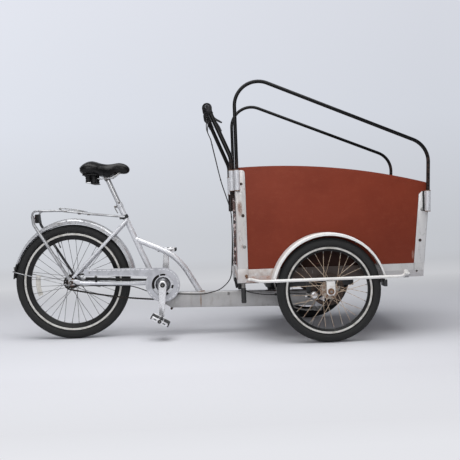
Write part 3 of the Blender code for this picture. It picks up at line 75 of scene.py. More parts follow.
SIDES = ("right", "left")
JOINTS = {j["name"]: Vector(j["pos_m"]) for j in frame["joints"]}
AXLE_X = JOINTS["rear_wheel_spin"].x
REAR_R = JOINTS["rear_wheel_spin"].z
BB = at(JOINTS["crank_spin"].x - AXLE_X, 0, JOINTS["crank_spin"].z)
FRONT_HUB = JOINTS["front_wheel_right_spin"] - at(AXLE_X, 0, 0)
HEAD_X = JOINTS["steering"].x - AXLE_X
PEDALS = {word: JOINTS["pedal_" + word + "_spin"] - at(AXLE_X, 0, 0) for word in SIDES}
BOX_REAR = HEAD_X - 0.426
BOX_FRONT = HEAD_X + 0.472
BOX_HALF = 0.3
BOX_LOW = 0.289
BOX_UNDER = BOX_LOW - 0.0003
FLARE = 0.0364
LEAN = 0.0909
HOOP_X = BOX_REAR + 0.012
HOOP_Y = 0.329
BAR_X = BOX_REAR - 0.0123
BAR_Y = 0.298
GRIP_Z = 1.155
GUARD_BAR_Y = -0.425
GUARD_BAR_Z = 0.306
CRANK_LENGTH = 0.17


def seat_tube_at(z):
    """The seat tube's centre line at a height."""
    lean = radians(22.7)
    foot = BB.x - 0.0368 / cos(lean)
    return at(foot - (z - BB.z) * tan(lean), 0, z)


SEAT_WAY = (seat_tube_at(0.7) - seat_tube_at(0.3)).normalized()


def beam_top(x):
    return 0.2285 - 0.0235 * (x - 0.4)


def box_half(z):
    return BOX_HALF + FLARE * (z - BOX_LOW)


# ---- Colours and finishes ----

def linear(hex_colour):
    """An sRGB hex colour as the linear values that a shader takes."""
    channels = [int(hex_colour[i:i + 2], 16) / 255 for i in (1, 3, 5)]
    return (*(c / 12.92 if c <= 0.04045 else ((c + 0.055) / 1.055) ** 2.4 for c in channels), 1.0)


def add(tree, kind, inputs=None, **settings):
    """Adds a shader node, sets its properties, and feeds its inputs with values or other nodes' outputs."""
    made = tree.nodes.new("ShaderNode" + kind)
    for name, value in settings.items():
        setattr(made, name, value)
    for name, value in (inputs or {}).items():
        if isinstance(value, bpy.types.NodeSocket):
            tree.links.new(value, made.inputs[name])
        else:
            made.inputs[name].default_value = value
    return made


def wear_or_painted_light(tone, mm, low, high, amount=1.0, **more):
    """A layer on a finish, mostly wear, in places painted shade and painted reflection: its colour, the size
    of its patches, the noise values at which it starts and is full, how much it covers, and its own roughness
    and metallic where they differ."""
    return dict(tone=tone, mm=mm, low=low, high=high, amount=amount, **more)


def surface(slot, base, metallic, rough, layers, bumps, **more):
    """A finish: its slot in the record, which is not used here, base colour, metallic, roughness, layers of
    wear and of painted light, and bumps in mm.
    """
    return dict(slot=slot, base=base, metallic=metallic, rough=rough, layers=layers, bumps=bumps, **more)


def coverage(tree, place, layer):
    """Where a layer lies, wear or painted light, from 0 to 1: patches of noise, or thin lines along its
    contours.
    """
    stretched = add(tree, "Mapping", {"Vector": place, "Scale": layer.get("stretch", (1, 1, 1))})
    noise = add(tree, "TexNoise", {"Vector": stretched.outputs[0], "Scale": 1000 / layer["mm"],
            "Detail": 6.0, "Roughness": 0.6})
    value = noise.outputs[0]
    if layer.get("lines"):
        middle = add(tree, "Math", {0: value, 1: 0.5}, operation="SUBTRACT")
        value = add(tree, "Math", {0: middle.outputs[0]}, operation="ABSOLUTE").outputs[0]
    mask = add(tree, "MapRange", {"Value": value, "From Min": layer["low"],
            "From Max": layer["high"], "To Max": layer["amount"]}).outputs[0]
    limits = []
    if "near" in layer:
        axis, full, none = layer["near"]
        distance = add(tree, "SeparateXYZ", {"Vector": place}).outputs[axis]
        if axis == 1:
            distance = add(tree, "Math", {0: distance}, operation="ABSOLUTE").outputs[0]
        limits.append((distance, full, none))
    if "spot" in layer:
        centre, reach = layer["spot"]
        offset = [-(c + (AXLE_X if i == 0 else 0)) / r for i, (c, r) in enumerate(zip(centre, reach))]
        scaled = add(tree, "Mapping", {"Vector": place, "Location": offset,
                "Scale": [1 / r for r in reach]})
        distance = add(tree, "VectorMath", {0: scaled.outputs[0]},
            operation="LENGTH").outputs["Value"]
        limits.append((distance, layer.get("edge", 0.35), 1.0))
    for distance, full, none in limits:
        fade = add(tree, "MapRange", {"Value": distance, "From Min": none, "From Max": full},
            interpolation_type="SMOOTHSTEP")
        mask = add(tree, "Math", {0: mask, 1: fade.outputs[0]}, operation="MULTIPLY").outputs[0]
    return mask


FINISHES = {
    # Sprayed silver enamel on steel: a pale metallic grey with chips, grime and hairline scratches.
    "silver_enamel": surface("silver_paint", "#D6D7DB", 0.34, 0.26, [
        wear_or_painted_light("#B4B6BA", 70, 0.42, 0.72, 0.6),
        wear_or_painted_light("#6F7073", 9, 0.62, 0.72, 0.55, rough=0.6),
        wear_or_painted_light("#D9DADB", 26, 0.006, 0.002, 0.7, stretch=(1, 3, 3), lines=True),
        wear_or_painted_light("#5A5552", 19, 0.005, 0.002, 0.6, stretch=(3, 1, 3), lines=True),
        wear_or_painted_light("#6E4A34", 14, 0.705, 0.74, rough=0.85, metal=0.1)],
        [(1.2, 0.004), (30, 0.06)], coat=0.15),
    # The same enamel on the chain guard's sheet, duller and scuffed by trousers.
    "silver_enamel_guard": surface("silver_paint", "#C0C1C6", 0.4, 0.3, [
        wear_or_painted_light("#96979B", 40, 0.42, 0.7, 0.7),
        wear_or_painted_light("#7C7B7C", 9, 0.62, 0.72, 0.55, rough=0.6)], [(1.2, 0.02), (30, 0.15)]),
    # Rolled aluminium mudguard: nearly a mirror, blotched dull brown by painted dark reflections.
    "mudguard_alloy": surface("silver_paint", "#C2C3C6", 0.55, 0.26, [
        # Painted reflection: the dull brown blotches, drawn out round the guard, stand for dark things it
        # mirrors.
        wear_or_painted_light("#86837F", 55, 0.52, 0.66, 0.75, stretch=(1, 3, 1), rough=0.4),
        wear_or_painted_light("#B9BABD", 22, 0.5, 0.7, 0.6, rough=0.35)], [(30, 0.08)], coat=0.1),
    # Steel tube of the rack, its nickel plate gone dull and brownish.
    "nickel_dulled": surface("chrome", "#ABACAE", 0.7, 0.28, [
        wear_or_painted_light("#77777A", 30, 0.45, 0.66, 0.85, rough=0.4),
        wear_or_painted_light("#5F4535", 7, 0.64, 0.71, rough=0.8, metal=0.2)], [(5, 0.02)]),
    # Extruded aluminium left in the weather: nearly white oxide with rust run down from its bolts.
    "aluminium_extruded": surface("aluminium", "#CDCCCC", 0.35, 0.38, [
        wear_or_painted_light("#ACABAB", 120, 0.45, 0.7, 0.8, stretch=(1, 1, 0.35)),
        wear_or_painted_light("#CDC7C2", 200, 0.2, 0.46, 0.45, near=(0, 0.2, 0.42)),
        wear_or_painted_light("#B49A88", 34, 0.58, 0.72, 0.6, stretch=(1, 1, 0.22), rough=0.7, metal=0.0, near=(0, 0.2, 0.6)),
        wear_or_painted_light("#8A5A40", 15, 0.64, 0.72, 0.8, stretch=(1, 1, 0.3), rough=0.85, metal=0.0, near=(0, 0.2, 0.6)),
        wear_or_painted_light("#7A5644", 7, 0.3, 0.5, 0.85, rough=0.85, metal=0.0,
            spot=((0.879, -0.312, 0.648), (0.016, 0.03, 0.05))),
        # A darker pink-grey band low on the right side, between the rear corner and the front wheel.
        wear_or_painted_light("#A08D82", 50, 0.3, 0.55, 0.75, rough=0.6, near=(2, 0.35, 0.362),
            spot=((1.03, -0.302, 0.325), (0.2, 0.04, 0.07))),
        # Painted shade and dirt: nearly black inside the front wheel's arch on the box's sides, where the
        # front mudguard shades them.
        wear_or_painted_light("#3A2B23", 40, 0.14, 0.36, 0.94, rough=0.8, metal=0.0, edge=0.95,
            near=(1, 0.2965, 0.2945), spot=((HEAD_X + 0.01, 0, 0.242), (0.258, 9, 0.258))),
        wear_or_painted_light("#8F8D8A", 40, 0.006, 0.002, 0.6, stretch=(1, 1, 0.2), lines=True)],
        [(0.9, 0.015), (18, 0.1)]),
    # Chrome plate on steel: mirror grey with pits and a bloom of brown where it has lifted.
    "chromed_steel": surface("chrome", "#D2D3D4", 1.0, 0.16, [
        wear_or_painted_light("#A7A5A2", 30, 0.48, 0.7, 0.8, rough=0.34),
        wear_or_painted_light("#6B4A35", 6, 0.66, 0.72, rough=0.8, metal=0.2),
        wear_or_painted_light("#8C8B89", 22, 0.006, 0.002, 0.8, stretch=(4, 1, 4), lines=True, rough=0.4)],
        [(5, 0.03)]),
    # Black powder coat: satin black, scuffed grey and gone brown at knocks.
    "black_powder_coat": surface("black_paint", "#1B1C1E", 0.0, 0.38, [
        wear_or_painted_light("#2F3032", 50, 0.45, 0.7, 0.8, rough=0.5),
        wear_or_painted_light("#4B4A49", 20, 0.006, 0.002, 0.6, stretch=(3, 3, 1), lines=True, rough=0.6),
        wear_or_painted_light("#4A3327", 12, 0.68, 0.73, rough=0.85)], [(1.5, 0.03)]),
    # Zinc plated steel, dulled: mid grey with white and brown specks.
    "zinc_plated_steel": surface("steel", "#8E8D8B", 0.8, 0.42, [
        wear_or_painted_light("#6A6866", 12, 0.45, 0.65, 0.8, rough=0.55),
        wear_or_painted_light("#6B4630", 5, 0.6, 0.68, rough=0.85, metal=0.1)], [(1.0, 0.03)]),
    # Bare steel rusted all over: brown with paler scale and dark pits.
    "rusted_steel": surface("rusty_steel", "#6E4E3A", 0.15, 0.8, [
        wear_or_painted_light("#8F7257", 9, 0.48, 0.62, 0.8),
        wear_or_painted_light("#3A2A22", 6, 0.56, 0.66, 0.85, rough=0.9),
        wear_or_painted_light("#A59683", 14, 0.62, 0.72, 0.7, rough=0.6, metal=0.5)], [(1.2, 0.12), (4, 0.15)]),
    # Rusty wire spokes: straw brown zinc with bright worn lengths.
    "spoke_wire_rusty": surface("rusty_steel", "#C4B09A", 0.35, 0.5, [
        wear_or_painted_light("#8A6F5A", 14, 0.5, 0.62, rough=0.8, metal=0.1),
        wear_or_painted_light("#DAD3C8", 22, 0.56, 0.64, 0.8)], [(1.0, 0.03)]),
    # Stainless wire spokes: grey and fairly bright.
    "spoke_wire": surface("steel", "#7B7C7E", 0.85, 0.38, [
        wear_or_painted_light("#4A4948", 16, 0.45, 0.62, rough=0.5)], [(1.0, 0.02)]),
    # Polished aluminium brake track of a rim: bright, with fine rings and black brake dust.
    "rim_track": surface("steel", "#D6D4CF", 0.45, 0.36, [
        wear_or_painted_light("#A9A59D", 26, 0.45, 0.68, 0.8, rough=0.5),
        wear_or_painted_light("#7A6A58", 9, 0.64, 0.72, 0.8, rough=0.7)], [(1.0, 0.02)]),
    # Black anodised well of the rim.
    "rim_black": surface("steel", "#0E0E0F", 0.0, 0.4, [
        wear_or_painted_light("#332F2C", 12, 0.57, 0.7, 0.6, rough=0.8)], [(2, 0.03)], specular=0.3),
    # Cured tyre rubber: charcoal, matt, with road dust in its low places.
    "tyre_rubber": surface("tyre_rubber", "#070707", 0.0, 0.7, [
        wear_or_painted_light("#0E0E0F", 45, 0.45, 0.7, 0.7, rough=0.85),
        wear_or_painted_light("#2E2B27", 7, 0.62, 0.76, 0.35, rough=0.95)], [(1.6, 0.06)], specular=0.1),
    # Film-faced birch plywood: red-brown phenolic film, slightly mottled, with pale scuffs.
    "film_faced_plywood": surface("red_board", "#783322", 0.0, 0.5, [
        wear_or_painted_light("#6A2A1B", 260, 0.4, 0.66, 0.55),
        wear_or_painted_light("#803B29", 38, 0.5, 0.72, 0.35, rough=0.55),
        wear_or_painted_light("#94594A", 90, 0.0028, 0.0008, 0.4, stretch=(1, 1, 5), lines=True, rough=0.6),
        wear_or_painted_light("#4E241C", 60, 0.0028, 0.0008, 0.4, stretch=(4, 4, 1), lines=True),
        wear_or_painted_light("#B29488", 60, 0.3, 0.48, 0.6, rough=0.7, near=(1, 0.296, 0.2945),
            spot=((1.708, -0.304, 0.395), (0.007, 9, 0.028))),
        # Painted shade and dirt: nearly black inside the front wheel's arch on the box's sides, where the
        # front mudguard shades them.
        wear_or_painted_light("#211713", 50, 0.22, 0.4, 0.96, rough=0.8, edge=0.965, near=(1, 0.296, 0.2945),
            spot=((HEAD_X + 0.01, 0, 0.242), (0.257, 9, 0.257)))],
        [(1.6, 0.02), (60, 0.1)], specular=0.14),
    # Sawn plywood edge sealed with dark red paint: thin plies still show.
    "plywood_edge": surface(None, "#5A261C", 0.0, 0.7, [
        wear_or_painted_light("#7C4A34", 5, 0.5, 0.6, 0.7, stretch=(0.1, 1, 0.1))], [(2, 0.08)]),
    # Moulded vinyl saddle cover: black, soft sheen, fine leather grain, polished where it is sat on.
    "vinyl_cover": surface("saddle_cover", "#050506", 0.0, 0.3, [
        wear_or_painted_light("#141416", 40, 0.48, 0.7, 0.7, rough=0.25),
        wear_or_painted_light("#343230", 9, 0.66, 0.76, 0.4, rough=0.6)],
        [(12, 0.15)], specular=0.3, grain=(1.1, 0.06)),
    # Closed-cell foam sleeve: dull black with open pores at its skin.
    "cell_foam": surface("foam", "#111112", 0.0, 0.9, [
        wear_or_painted_light("#37343A", 14, 0.5, 0.66, 0.8)], [(5, 0.3)], specular=0.3, grain=(1.6, 0.25)),
    # Moulded acrylic reflector, clear gone cream: hard gloss over small prisms.
    "acrylic_clear": surface(None, "#CBC8C1", 0.0, 0.22, [
        wear_or_painted_light("#A29C92", 12, 0.5, 0.7, 0.6, rough=0.4)], [], grain=(2.2, 0.3)),
    # Painted shade: the red lens is made darker than its red, for the shade seen on its side.
    "acrylic_red_shaded": surface("reflector_red", "#5E1512", 0.0, 0.22, [
        wear_or_painted_light("#2E0E0C", 10, 0.5, 0.7, 0.7, rough=0.5)], [], grain=(2.2, 0.3)),
    # Moulded nylon: pedals, caps and levers, black gone slightly grey.
    "moulded_nylon": surface("black_paint", "#121213", 0.0, 0.5, [
        wear_or_painted_light("#3B3A38", 8, 0.55, 0.7, 0.7, rough=0.7)], [(0.8, 0.04)], specular=0.3),
    # Extruded PVC over a wound steel liner: cable housing, black and faintly ribbed.
    "cable_housing": surface("cable_housing", "#08090A", 0.0, 0.42, [
        wear_or_painted_light("#2A2928", 20, 0.5, 0.7, 0.7, rough=0.6)], [(1.5, 0.03)], specular=0.3),
    # Corrugated loom and tape round the cables: black, with paint splashed and rubbed off in patches.
    "cable_loom": surface(None, "#17171A", 0.0, 0.6, [
        wear_or_painted_light("#5B4540", 24, 0.46, 0.54, 0.9, rough=0.7),
        wear_or_painted_light("#C9BAB9", 19, 0.55, 0.61, 0.95, rough=0.6)], [(2.5, 0.3)]),
    # The frame's silver enamel on the beam, its base painted darker for the shade under the box, with a rust
    # streak run down from the curved tube's foot.
    "silver_enamel_beam_shaded": surface("silver_paint", "#B6B5B4", 0.45, 0.34, [
        wear_or_painted_light("#989797", 110, 0.42, 0.72, 0.7),
        wear_or_painted_light("#8A8078", 26, 0.55, 0.72, 0.5, stretch=(1, 1, 0.3), rough=0.6),
        wear_or_painted_light("#80664F", 12, 0.26, 0.52, 0.75, rough=0.7, metal=0.1,
            spot=((0.666, -0.03, 0.18), (0.0066, 0.03, 0.05))),
        wear_or_painted_light("#6E4A34", 14, 0.69, 0.73, rough=0.85, metal=0.1)], [(1.2, 0.02), (40, 0.2)], coat=0.2),
    # Weld bead where the enamel has burst: rust with silver left on its crests.
    "silver_enamel_welded": surface(None, "#8C7B6E", 0.3, 0.6, [
        wear_or_painted_light("#6B4028", 6, 0.45, 0.58, rough=0.9, metal=0.0),
        wear_or_painted_light("#C0BEBB", 8, 0.58, 0.68, 0.8)], [(1.5, 0.15)]),
    # White stove enamel on sheet steel: warm white, with grime and small rust chips.
    "white_enamel": surface("aluminium", "#E0DFDD", 0.0, 0.32, [
        wear_or_painted_light("#C6C3BF", 80, 0.45, 0.7, 0.6),
        wear_or_painted_light("#A08C7A", 22, 0.6, 0.74, 0.55, rough=0.6),
        wear_or_painted_light("#7A4E36", 9, 0.69, 0.73, rough=0.85)], [(1.5, 0.03)]),
    # Extruded aluminium near the road: cream oxide, pink-brown with iron stain.
    "aluminium_stained": surface("aluminium", "#B3B1B2", 0.25, 0.45, [
        wear_or_painted_light("#A78C80", 60, 0.3, 0.56, 0.9, rough=0.6, near=(0, 0.26, 0.52)),
        wear_or_painted_light("#86533A", 12, 0.56, 0.68, 0.9, rough=0.85, metal=0.0, near=(0, 0.26, 0.6)),
        wear_or_painted_light("#D3CFCB", 30, 0.006, 0.002, 0.6, lines=True),
        # Painted shade and dirt: nearly black inside the front wheel's arch on the box's sides, where the
        # front mudguard shades them.
        wear_or_painted_light("#3A2B23", 40, 0.14, 0.36, 0.94, rough=0.8, metal=0.0, edge=0.95,
            near=(1, 0.2965, 0.2945), spot=((HEAD_X + 0.01, 0, 0.242), (0.258, 9, 0.258)))],
        [(1.2, 0.03)]),
    # Powder coat on the hoops and the push bar: satin black, brown with rust by the sleeves.
    "black_coat_weathered": surface("black_paint", "#040405", 0.0, 0.2, [
        wear_or_painted_light("#0A0A0B", 60, 0.45, 0.7, 0.8, rough=0.3),
        wear_or_painted_light("#3A3633", 24, 0.006, 0.002, 0.15, stretch=(3, 3, 1), lines=True, rough=0.6),
        wear_or_painted_light("#3B2A24", 10, 0.42, 0.58, 0.75, rough=0.8, near=(2, 0.85, 0.905)),
        wear_or_painted_light("#3F2D24", 12, 0.7, 0.74, rough=0.85)], [(1.5, 0.03)], specular=0.2),
    # Cast hub of the front wheels: cream oxide with brown iron stain.
    "hub_alloy_stained": surface(None, "#A39A8F", 0.4, 0.5, [
        wear_or_painted_light("#7B5A42", 10, 0.46, 0.6, rough=0.8, metal=0.1),
        wear_or_painted_light("#4A3426", 6, 0.62, 0.7, rough=0.85, metal=0.0)], [(1.2, 0.05)]),
    # Oiled chain steel: dark brown-grey with bright plate edges.
    "chain_steel": surface("rusty_steel", "#2B2623", 0.5, 0.45, [
        wear_or_painted_light("#161311", 10, 0.42, 0.58, rough=0.6),
        wear_or_painted_light("#5A4030", 5, 0.62, 0.7, rough=0.8, metal=0.2)], [(1.0, 0.03)]),
    # Laser-cut brake disc: brown-black with rust in blotches, greyer where the pads rub.
    "disc_steel": surface("rusty_steel", "#44372F", 0.4, 0.6, [
        wear_or_painted_light("#241A15", 9, 0.44, 0.58, 0.9, rough=0.8, metal=0.0),
        wear_or_painted_light("#6E5B4C", 7, 0.6, 0.68, 0.8)], [(1.2, 0.05)]),
    # Moulded PVC boot over the cables: pale grey, dusty, gone dull.
    "boot_pvc": surface(None, "#A9A9AA", 0.0, 0.55, [
        wear_or_painted_light("#77716D", 8, 0.5, 0.66, 0.8, rough=0.7)], [(1.0, 0.03)]),
    # Stamped chainwheel steel: dulled grey plate with oil in its roots.
    "chainwheel_steel": surface(None, "#77777A", 0.8, 0.4, [
        wear_or_painted_light("#3A3836", 12, 0.45, 0.6, rough=0.6)], [(1.0, 0.03)]),
    # Forged and polished aluminium: bright and slightly warm, with fine scratches from shoes.
    "forged_aluminium": surface("silver_paint", "#EDEDEF", 0.75, 0.24, [
        wear_or_painted_light("#C6C6C6", 30, 0.45, 0.68, 0.6, rough=0.36),
        wear_or_painted_light("#F4F4F3", 18, 0.006, 0.002, 0.3, lines=True)], [(0.9, 0.004)]),
    # Seat post alloy: brushed along its length, scored where it has been raised and lowered.
    "seat_post_alloy": surface("aluminium", "#C4C5C7", 0.85, 0.26, [
        wear_or_painted_light("#8E8F91", 18, 0.01, 0.002, 0.8, stretch=(1, 1, 0.2), lines=True)], [(0.9, 0.015)]),
    # Cast grey cover of the crank's bearing: dark satin metal.
    "hub_grey_cast": surface(None, "#85868A", 0.6, 0.34, [
        wear_or_painted_light("#545457", 16, 0.45, 0.62, rough=0.45)], [(1.0, 0.02)]),
    # Steel rubbed bright through the paint where a stamped bead stands proud, with a painted highlight: near
    # white, as the bead catches the light.
    "rubbed_steel_and_highlight": surface(None, "#F2F2F3", 0.1, 0.3, [
        wear_or_painted_light("#D2D2D3", 5, 0.5, 0.62)], [(1.0, 0.02)]),
    # Pedal end plates: pressed steel, once chromed.
    "pedal_plate": surface(None, "#DEDEE0", 0.55, 0.26, [
        wear_or_painted_light("#8E8A86", 7, 0.58, 0.68, rough=0.5)], [(1.0, 0.03)]),
    # Moulded tread blocks of pedals and buffers: black rubber polished by shoes.
    "tread_rubber": surface("black_paint", "#212122", 0.0, 0.6, [
        wear_or_painted_light("#413E3B", 8, 0.55, 0.7, 0.7, rough=0.8)], [(1.2, 0.06)]),
    # Blackened bolt heads: dark with a brown bloom.
    "dark_bolt": surface(None, "#2A2624", 0.4, 0.5, [
        wear_or_painted_light("#5A3A28", 4, 0.52, 0.62, rough=0.8)], [(1.0, 0.04)]),
    # Grease and soot in a saw cut or a joint; and painted shade, where a dark sheet over a crack, a slot or
    # an open hole stands for the shade inside it.
    "recess_grime_and_shade": surface(None, "#0D0C0C", 0.0, 0.9, [
        wear_or_painted_light("#241914", 6, 0.5, 0.65)], [(2, 0.1)]),}


# Short names for the finishes that most pieces use.
ENAMEL, ZINC, CHROME, NYLON = "silver_enamel", "zinc_plated_steel", "chromed_steel", "moulded_nylon"
RUST, DARK, BLACK, ALLOY = "rusted_steel", "dark_bolt", "black_powder_coat", "aluminium_extruded"
WHITE, RECESS_GRIME_AND_SHADE, NICKEL = "white_enamel", "recess_grime_and_shade", "nickel_dulled"


def make_finish(name, spec):
    made = bpy.data.materials.new(name)
    made.use_nodes = True
    tree = made.node_tree
    shader = tree.nodes["Principled BSDF"]
    place = add(tree, "TexCoord").outputs["Object"]
    colour = tuple(getattr(bpy.context.scene.tricycle_colours, name, linear(spec["base"])))
    roughness = spec["rough"]
    metallic = spec["metallic"]
    for layer in spec["layers"]:
        mask = coverage(tree, place, layer)
        colour = add(tree, "Mix", {0: mask, 6: colour, 7: linear(layer["tone"])},
            data_type="RGBA").outputs[2]
        if "rough" in layer:
            roughness = add(tree, "Mix", {0: mask, 2: roughness, 3: layer["rough"]}).outputs[0]
        if "metal" in layer:
            metallic = add(tree, "Mix", {0: mask, 2: metallic, 3: layer["metal"]}).outputs[0]
    for socket, value in (("Base Color", colour), ("Roughness", roughness), ("Metallic", metallic)):
        if isinstance(value, bpy.types.NodeSocket):
            tree.links.new(value, shader.inputs[socket])
        else:
            shader.inputs[socket].default_value = value
    shader.inputs["Specular IOR Level"].default_value = spec.get("specular", 0.5)
    shader.inputs["Coat Weight"].default_value = spec.get("coat", 0.0)
    shader.inputs["Coat Roughness"].default_value = 0.12
    normal = None
    heights = [("TexNoise", size, height) for size, height in spec["bumps"]]
    if "grain" in spec:
        heights.append(("TexVoronoi", *spec["grain"]))
    for kind, size, height in heights:
        pattern = add(tree, kind, {"Vector": place, "Scale": 1000 / size})
        given = {"Height": pattern.outputs[0], "Distance": height / 1000, "Strength": 1.0}
        if normal:
            given["Normal"] = normal
        normal = add(tree, "Bump", given).outputs[0]
    if normal:
        tree.links.new(normal, shader.inputs["Normal"])
    return made


def finish(name):
    return bpy.data.materials.get(name) or make_finish(name, FINISHES[name])


# ---- Mesh tools ----

def skin(rows, closed=False):
    """A mesh whose rings of vertices, one for each row of points, are joined with quads and capped."""
    bm = bmesh.new()
    rings = [[bm.verts.new(point) for point in row] for row in rows]
    count = len(rings[0])
    pairs = list(zip(rings, rings[1:])) + ([(rings[-1], rings[0])] if closed else [])
    for ring, after in pairs:
        for i in range(count):
            j = (i + 1) % count
            bm.faces.new((ring[i], ring[j], after[j], after[i]))
    if not closed:
        bm.faces.new(list(reversed(rings[0])))
        bm.faces.new(rings[-1])
    return bm


def softened(bm, width, segments=2, angle=28.0):
    """Rounds a mesh's sharp edges off, as casting, rolling and paint do."""
    if width <= 0:
        return bm
    sharp = [e for e in bm.edges if len(e.link_faces) == 2 and e.calc_face_angle(0) > radians(angle)]
    bmesh.ops.bevel(bm, geom=sharp, offset=width, segments=segments, profile=0.5, affect="EDGES",
        clamp_overlap=True)
    return bm


def box(low, high, round_mm=1.0):
    bm = bmesh.new()
    bmesh.ops.create_cube(bm, size=1.0)
    size = Vector(high) - Vector(low)
    bmesh.ops.scale(bm, vec=[abs(s) for s in size], verts=bm.verts)
    bmesh.ops.translate(bm, vec=(Vector(low) + Vector(high)) / 2, verts=bm.verts)
    return softened(bm, round_mm / 1000)


def prism(outline, axis, low, high, round_mm=0.8, segments=2):
    """Extrudes an outline: (x, z) points along Y, (x, y) along Z, (y, z) along X."""
    order = {"X": (2, 0, 1), "Y": (0, 2, 1), "Z": (0, 1, 2)}[axis]
    bm = skin([[[(*point, along)[k] for k in order] for point in outline] for along in (low, high)])
    bmesh.ops.recalc_face_normals(bm, faces=bm.faces)
    return softened(bm, round_mm / 1000, segments)


def lathe(profile, centre, axis="Y", steps=32):
    """Turns a closed profile of (radius, along) points about an axis through centre."""
    way = Vector({"Y": (0, 1, 0), "Z": (0, 0, 1)}[axis] if isinstance(axis, str) else axis).normalized()
    arm = at(0, 0, 1) if abs(way.z) < 0.9 else at(1, 0, 0)
    arm = (arm - way * arm.dot(way)).normalized()
    rows = []
    for i in range(steps):
        out = Matrix.Rotation(tau * i / steps, 3, way) @ arm
        rows.append([Vector(centre) + out * r + way * t for r, t in profile])
    bm = skin(rows, closed=True)
    bmesh.ops.remove_doubles(bm, verts=bm.verts, dist=1e-7)
    return bm


def rod(radius, low, high, steps=20, round_mm=0.5):
    """A round bar between two points, its rims rounded."""
    a = Vector(low)
    length = (Vector(high) - a).length
    r = min(round_mm / 1000, radius * 0.4, length * 0.4)
    profile = [(0, 0), (radius - r, 0), (radius - r * 0.3, r * 0.3), (radius, r), (radius, length - r),
        (radius - r * 0.3, length - r * 0.3), (radius - r, length), (0, length)]
    return lathe(profile, a, Vector(high) - a, steps)


def sleeve(radius, bore, low, high, steps=28, round_mm=0.5):
    """A short tube between two points, with rounded rims."""
    a = Vector(low)
    length = (Vector(high) - a).length
    r = min(round_mm / 1000, (radius - bore) * 0.45)
    profile = [(bore, 0), (radius - r, 0), (radius, r), (radius, length - r), (radius - r, length),
        (bore, length)]
    return lathe(profile, a, Vector(high) - a, steps)


def bent(corners, radius, steps=8):
    """A tube's centre line: straight runs with an arc at each inner corner."""
    points = [Vector(c) for c in corners]
    radii = radius if isinstance(radius, (list, tuple)) else [radius] * (len(points) - 2)
    path = [points[0]]
    for before, corner, after, bend in zip(points, points[1:], points[2:], radii):
        back = (before - corner).normalized()
        ahead = (after - corner).normalized()
        half = back.angle(ahead) / 2
        centre = corner + (back + ahead).normalized() * bend / sin(half)
        start = corner + back * bend / tan(half) - centre
        end = corner + ahead * bend / tan(half) - centre
        hinge = start.cross(end).normalized()
        for i in range(steps + 1):
            path.append(centre + Matrix.Rotation(start.angle(end) * i / steps, 3, hinge) @ start)
    return path + [points[-1]]


def smooth_line(points, steps=6):
    """A smooth curve through points, for cables."""
    spots = [Vector(p) for p in points]
    spots = [spots[0] * 2 - spots[1]] + spots + [spots[-1] * 2 - spots[-2]]
    line = []
    for a, b, c, d in zip(spots, spots[1:], spots[2:], spots[3:]):
        for i in range(steps):
            t = i / steps
            line.append((b * 2 + (c - a) * t + (a * 2 - b * 5 + c * 4 - d) * t ** 2 + (b * 3 - a - c * 3 + d)
                    * t ** 3) / 2)
    return line + [spots[-2]]


def swept(path, radius, sides=20, closed=False, dome=0.0):
    """A round section carried along a path. A list of radii gives one for each point."""
    points = [Vector(p) for p in path]
    radii = list(radius) if isinstance(radius, (list, tuple)) else [radius] * len(points)
    if dome:
        points = [points[0]] + points + [points[-1]]
        radii = [radii[0] - dome] + radii + [radii[-1] - dome]
        first = (points[2] - points[1]).normalized() * dome
        last = (points[-2] - points[-3]).normalized() * dome
        points[1] = points[1] + first
        points[-2] = points[-2] - last
    count = len(points)
    rows = []
    across = None
    for i, point in enumerate(points):
        if closed:
            tangent = points[(i + 1) % count] - points[i - 1]
        else:
            tangent = points[min(i + 1, count - 1)] - points[max(i - 1, 0)]
        tangent.normalize()
        if across is None:
            across = at(0, 1, 0) if abs(tangent.y) < 0.8 else at(0, 0, 1)
        across = (across - tangent * across.dot(tangent)).normalized()
        side = tangent.cross(across)
        rows.append([point + (across * cos(tau * j / sides) + side * sin(tau * j / sides)) * radii[i]
                for j in range(sides)])
    return skin(rows, closed)


def arc_sheet(profile, centre, from_deg, to_deg, steps):
    """A closed profile of (radius, y) points swept round an axle."""
    rows = []
    for i in range(steps + 1):
        angle = radians(from_deg + (to_deg - from_deg) * i / steps)
        rows.append([(centre[0] + r * cos(angle), y, centre[1] + r * sin(angle)) for r, y in profile])
    return skin(rows)


def cad(node, round_mm=0.8, segments=2, angle=28.0):
    """A CAD node's own mesh, its flat faces whole again and its edges rounded off."""
    bm = bmesh.new()
    bm.from_mesh(frame["nodes"][node].data)
    bmesh.ops.translate(bm, vec=(-AXLE_X, 0, 0), verts=bm.verts)
    bmesh.ops.remove_doubles(bm, verts=bm.verts, dist=1e-5)
    bmesh.ops.dissolve_limit(bm, angle_limit=radians(1), verts=bm.verts, edges=bm.edges)
    return softened(bm, round_mm / 1000, segments, angle)


def turned(bm, degrees, centre):
    turn = Matrix.Rotation(radians(degrees), 3, "Y")
    bmesh.ops.rotate(bm, cent=Vector(centre), verts=bm.verts, matrix=turn)
    return bm


def moved(bm, shift):
    bmesh.ops.translate(bm, vec=Vector(shift), verts=bm.verts)
    return bm


def mirrored(bm):
    for vert in bm.verts:
        vert.co.y = -vert.co.y
    bmesh.ops.reverse_faces(bm, faces=bm.faces)
    return bm


def leaned(bm, forward=False):
    """Leans an upright solid of the box: its sides flare outwards, its front leans forward."""
    for vert in bm.verts:
        rise = vert.co.z - BOX_LOW
        vert.co.y += math.copysign(FLARE * rise, vert.co.y)
        if forward:
            vert.co.x += LEAN * rise
    return bm


def filled(name, bm):
    """Mesh data made from a bmesh, which is then freed."""
    data = bpy.data.meshes.new(name)
    bm.to_mesh(data)
    bm.free()
    return data


def placed(name, data):
    obj = bpy.data.objects.new(name, data)
    bpy.context.scene.collection.objects.link(obj)
    return obj


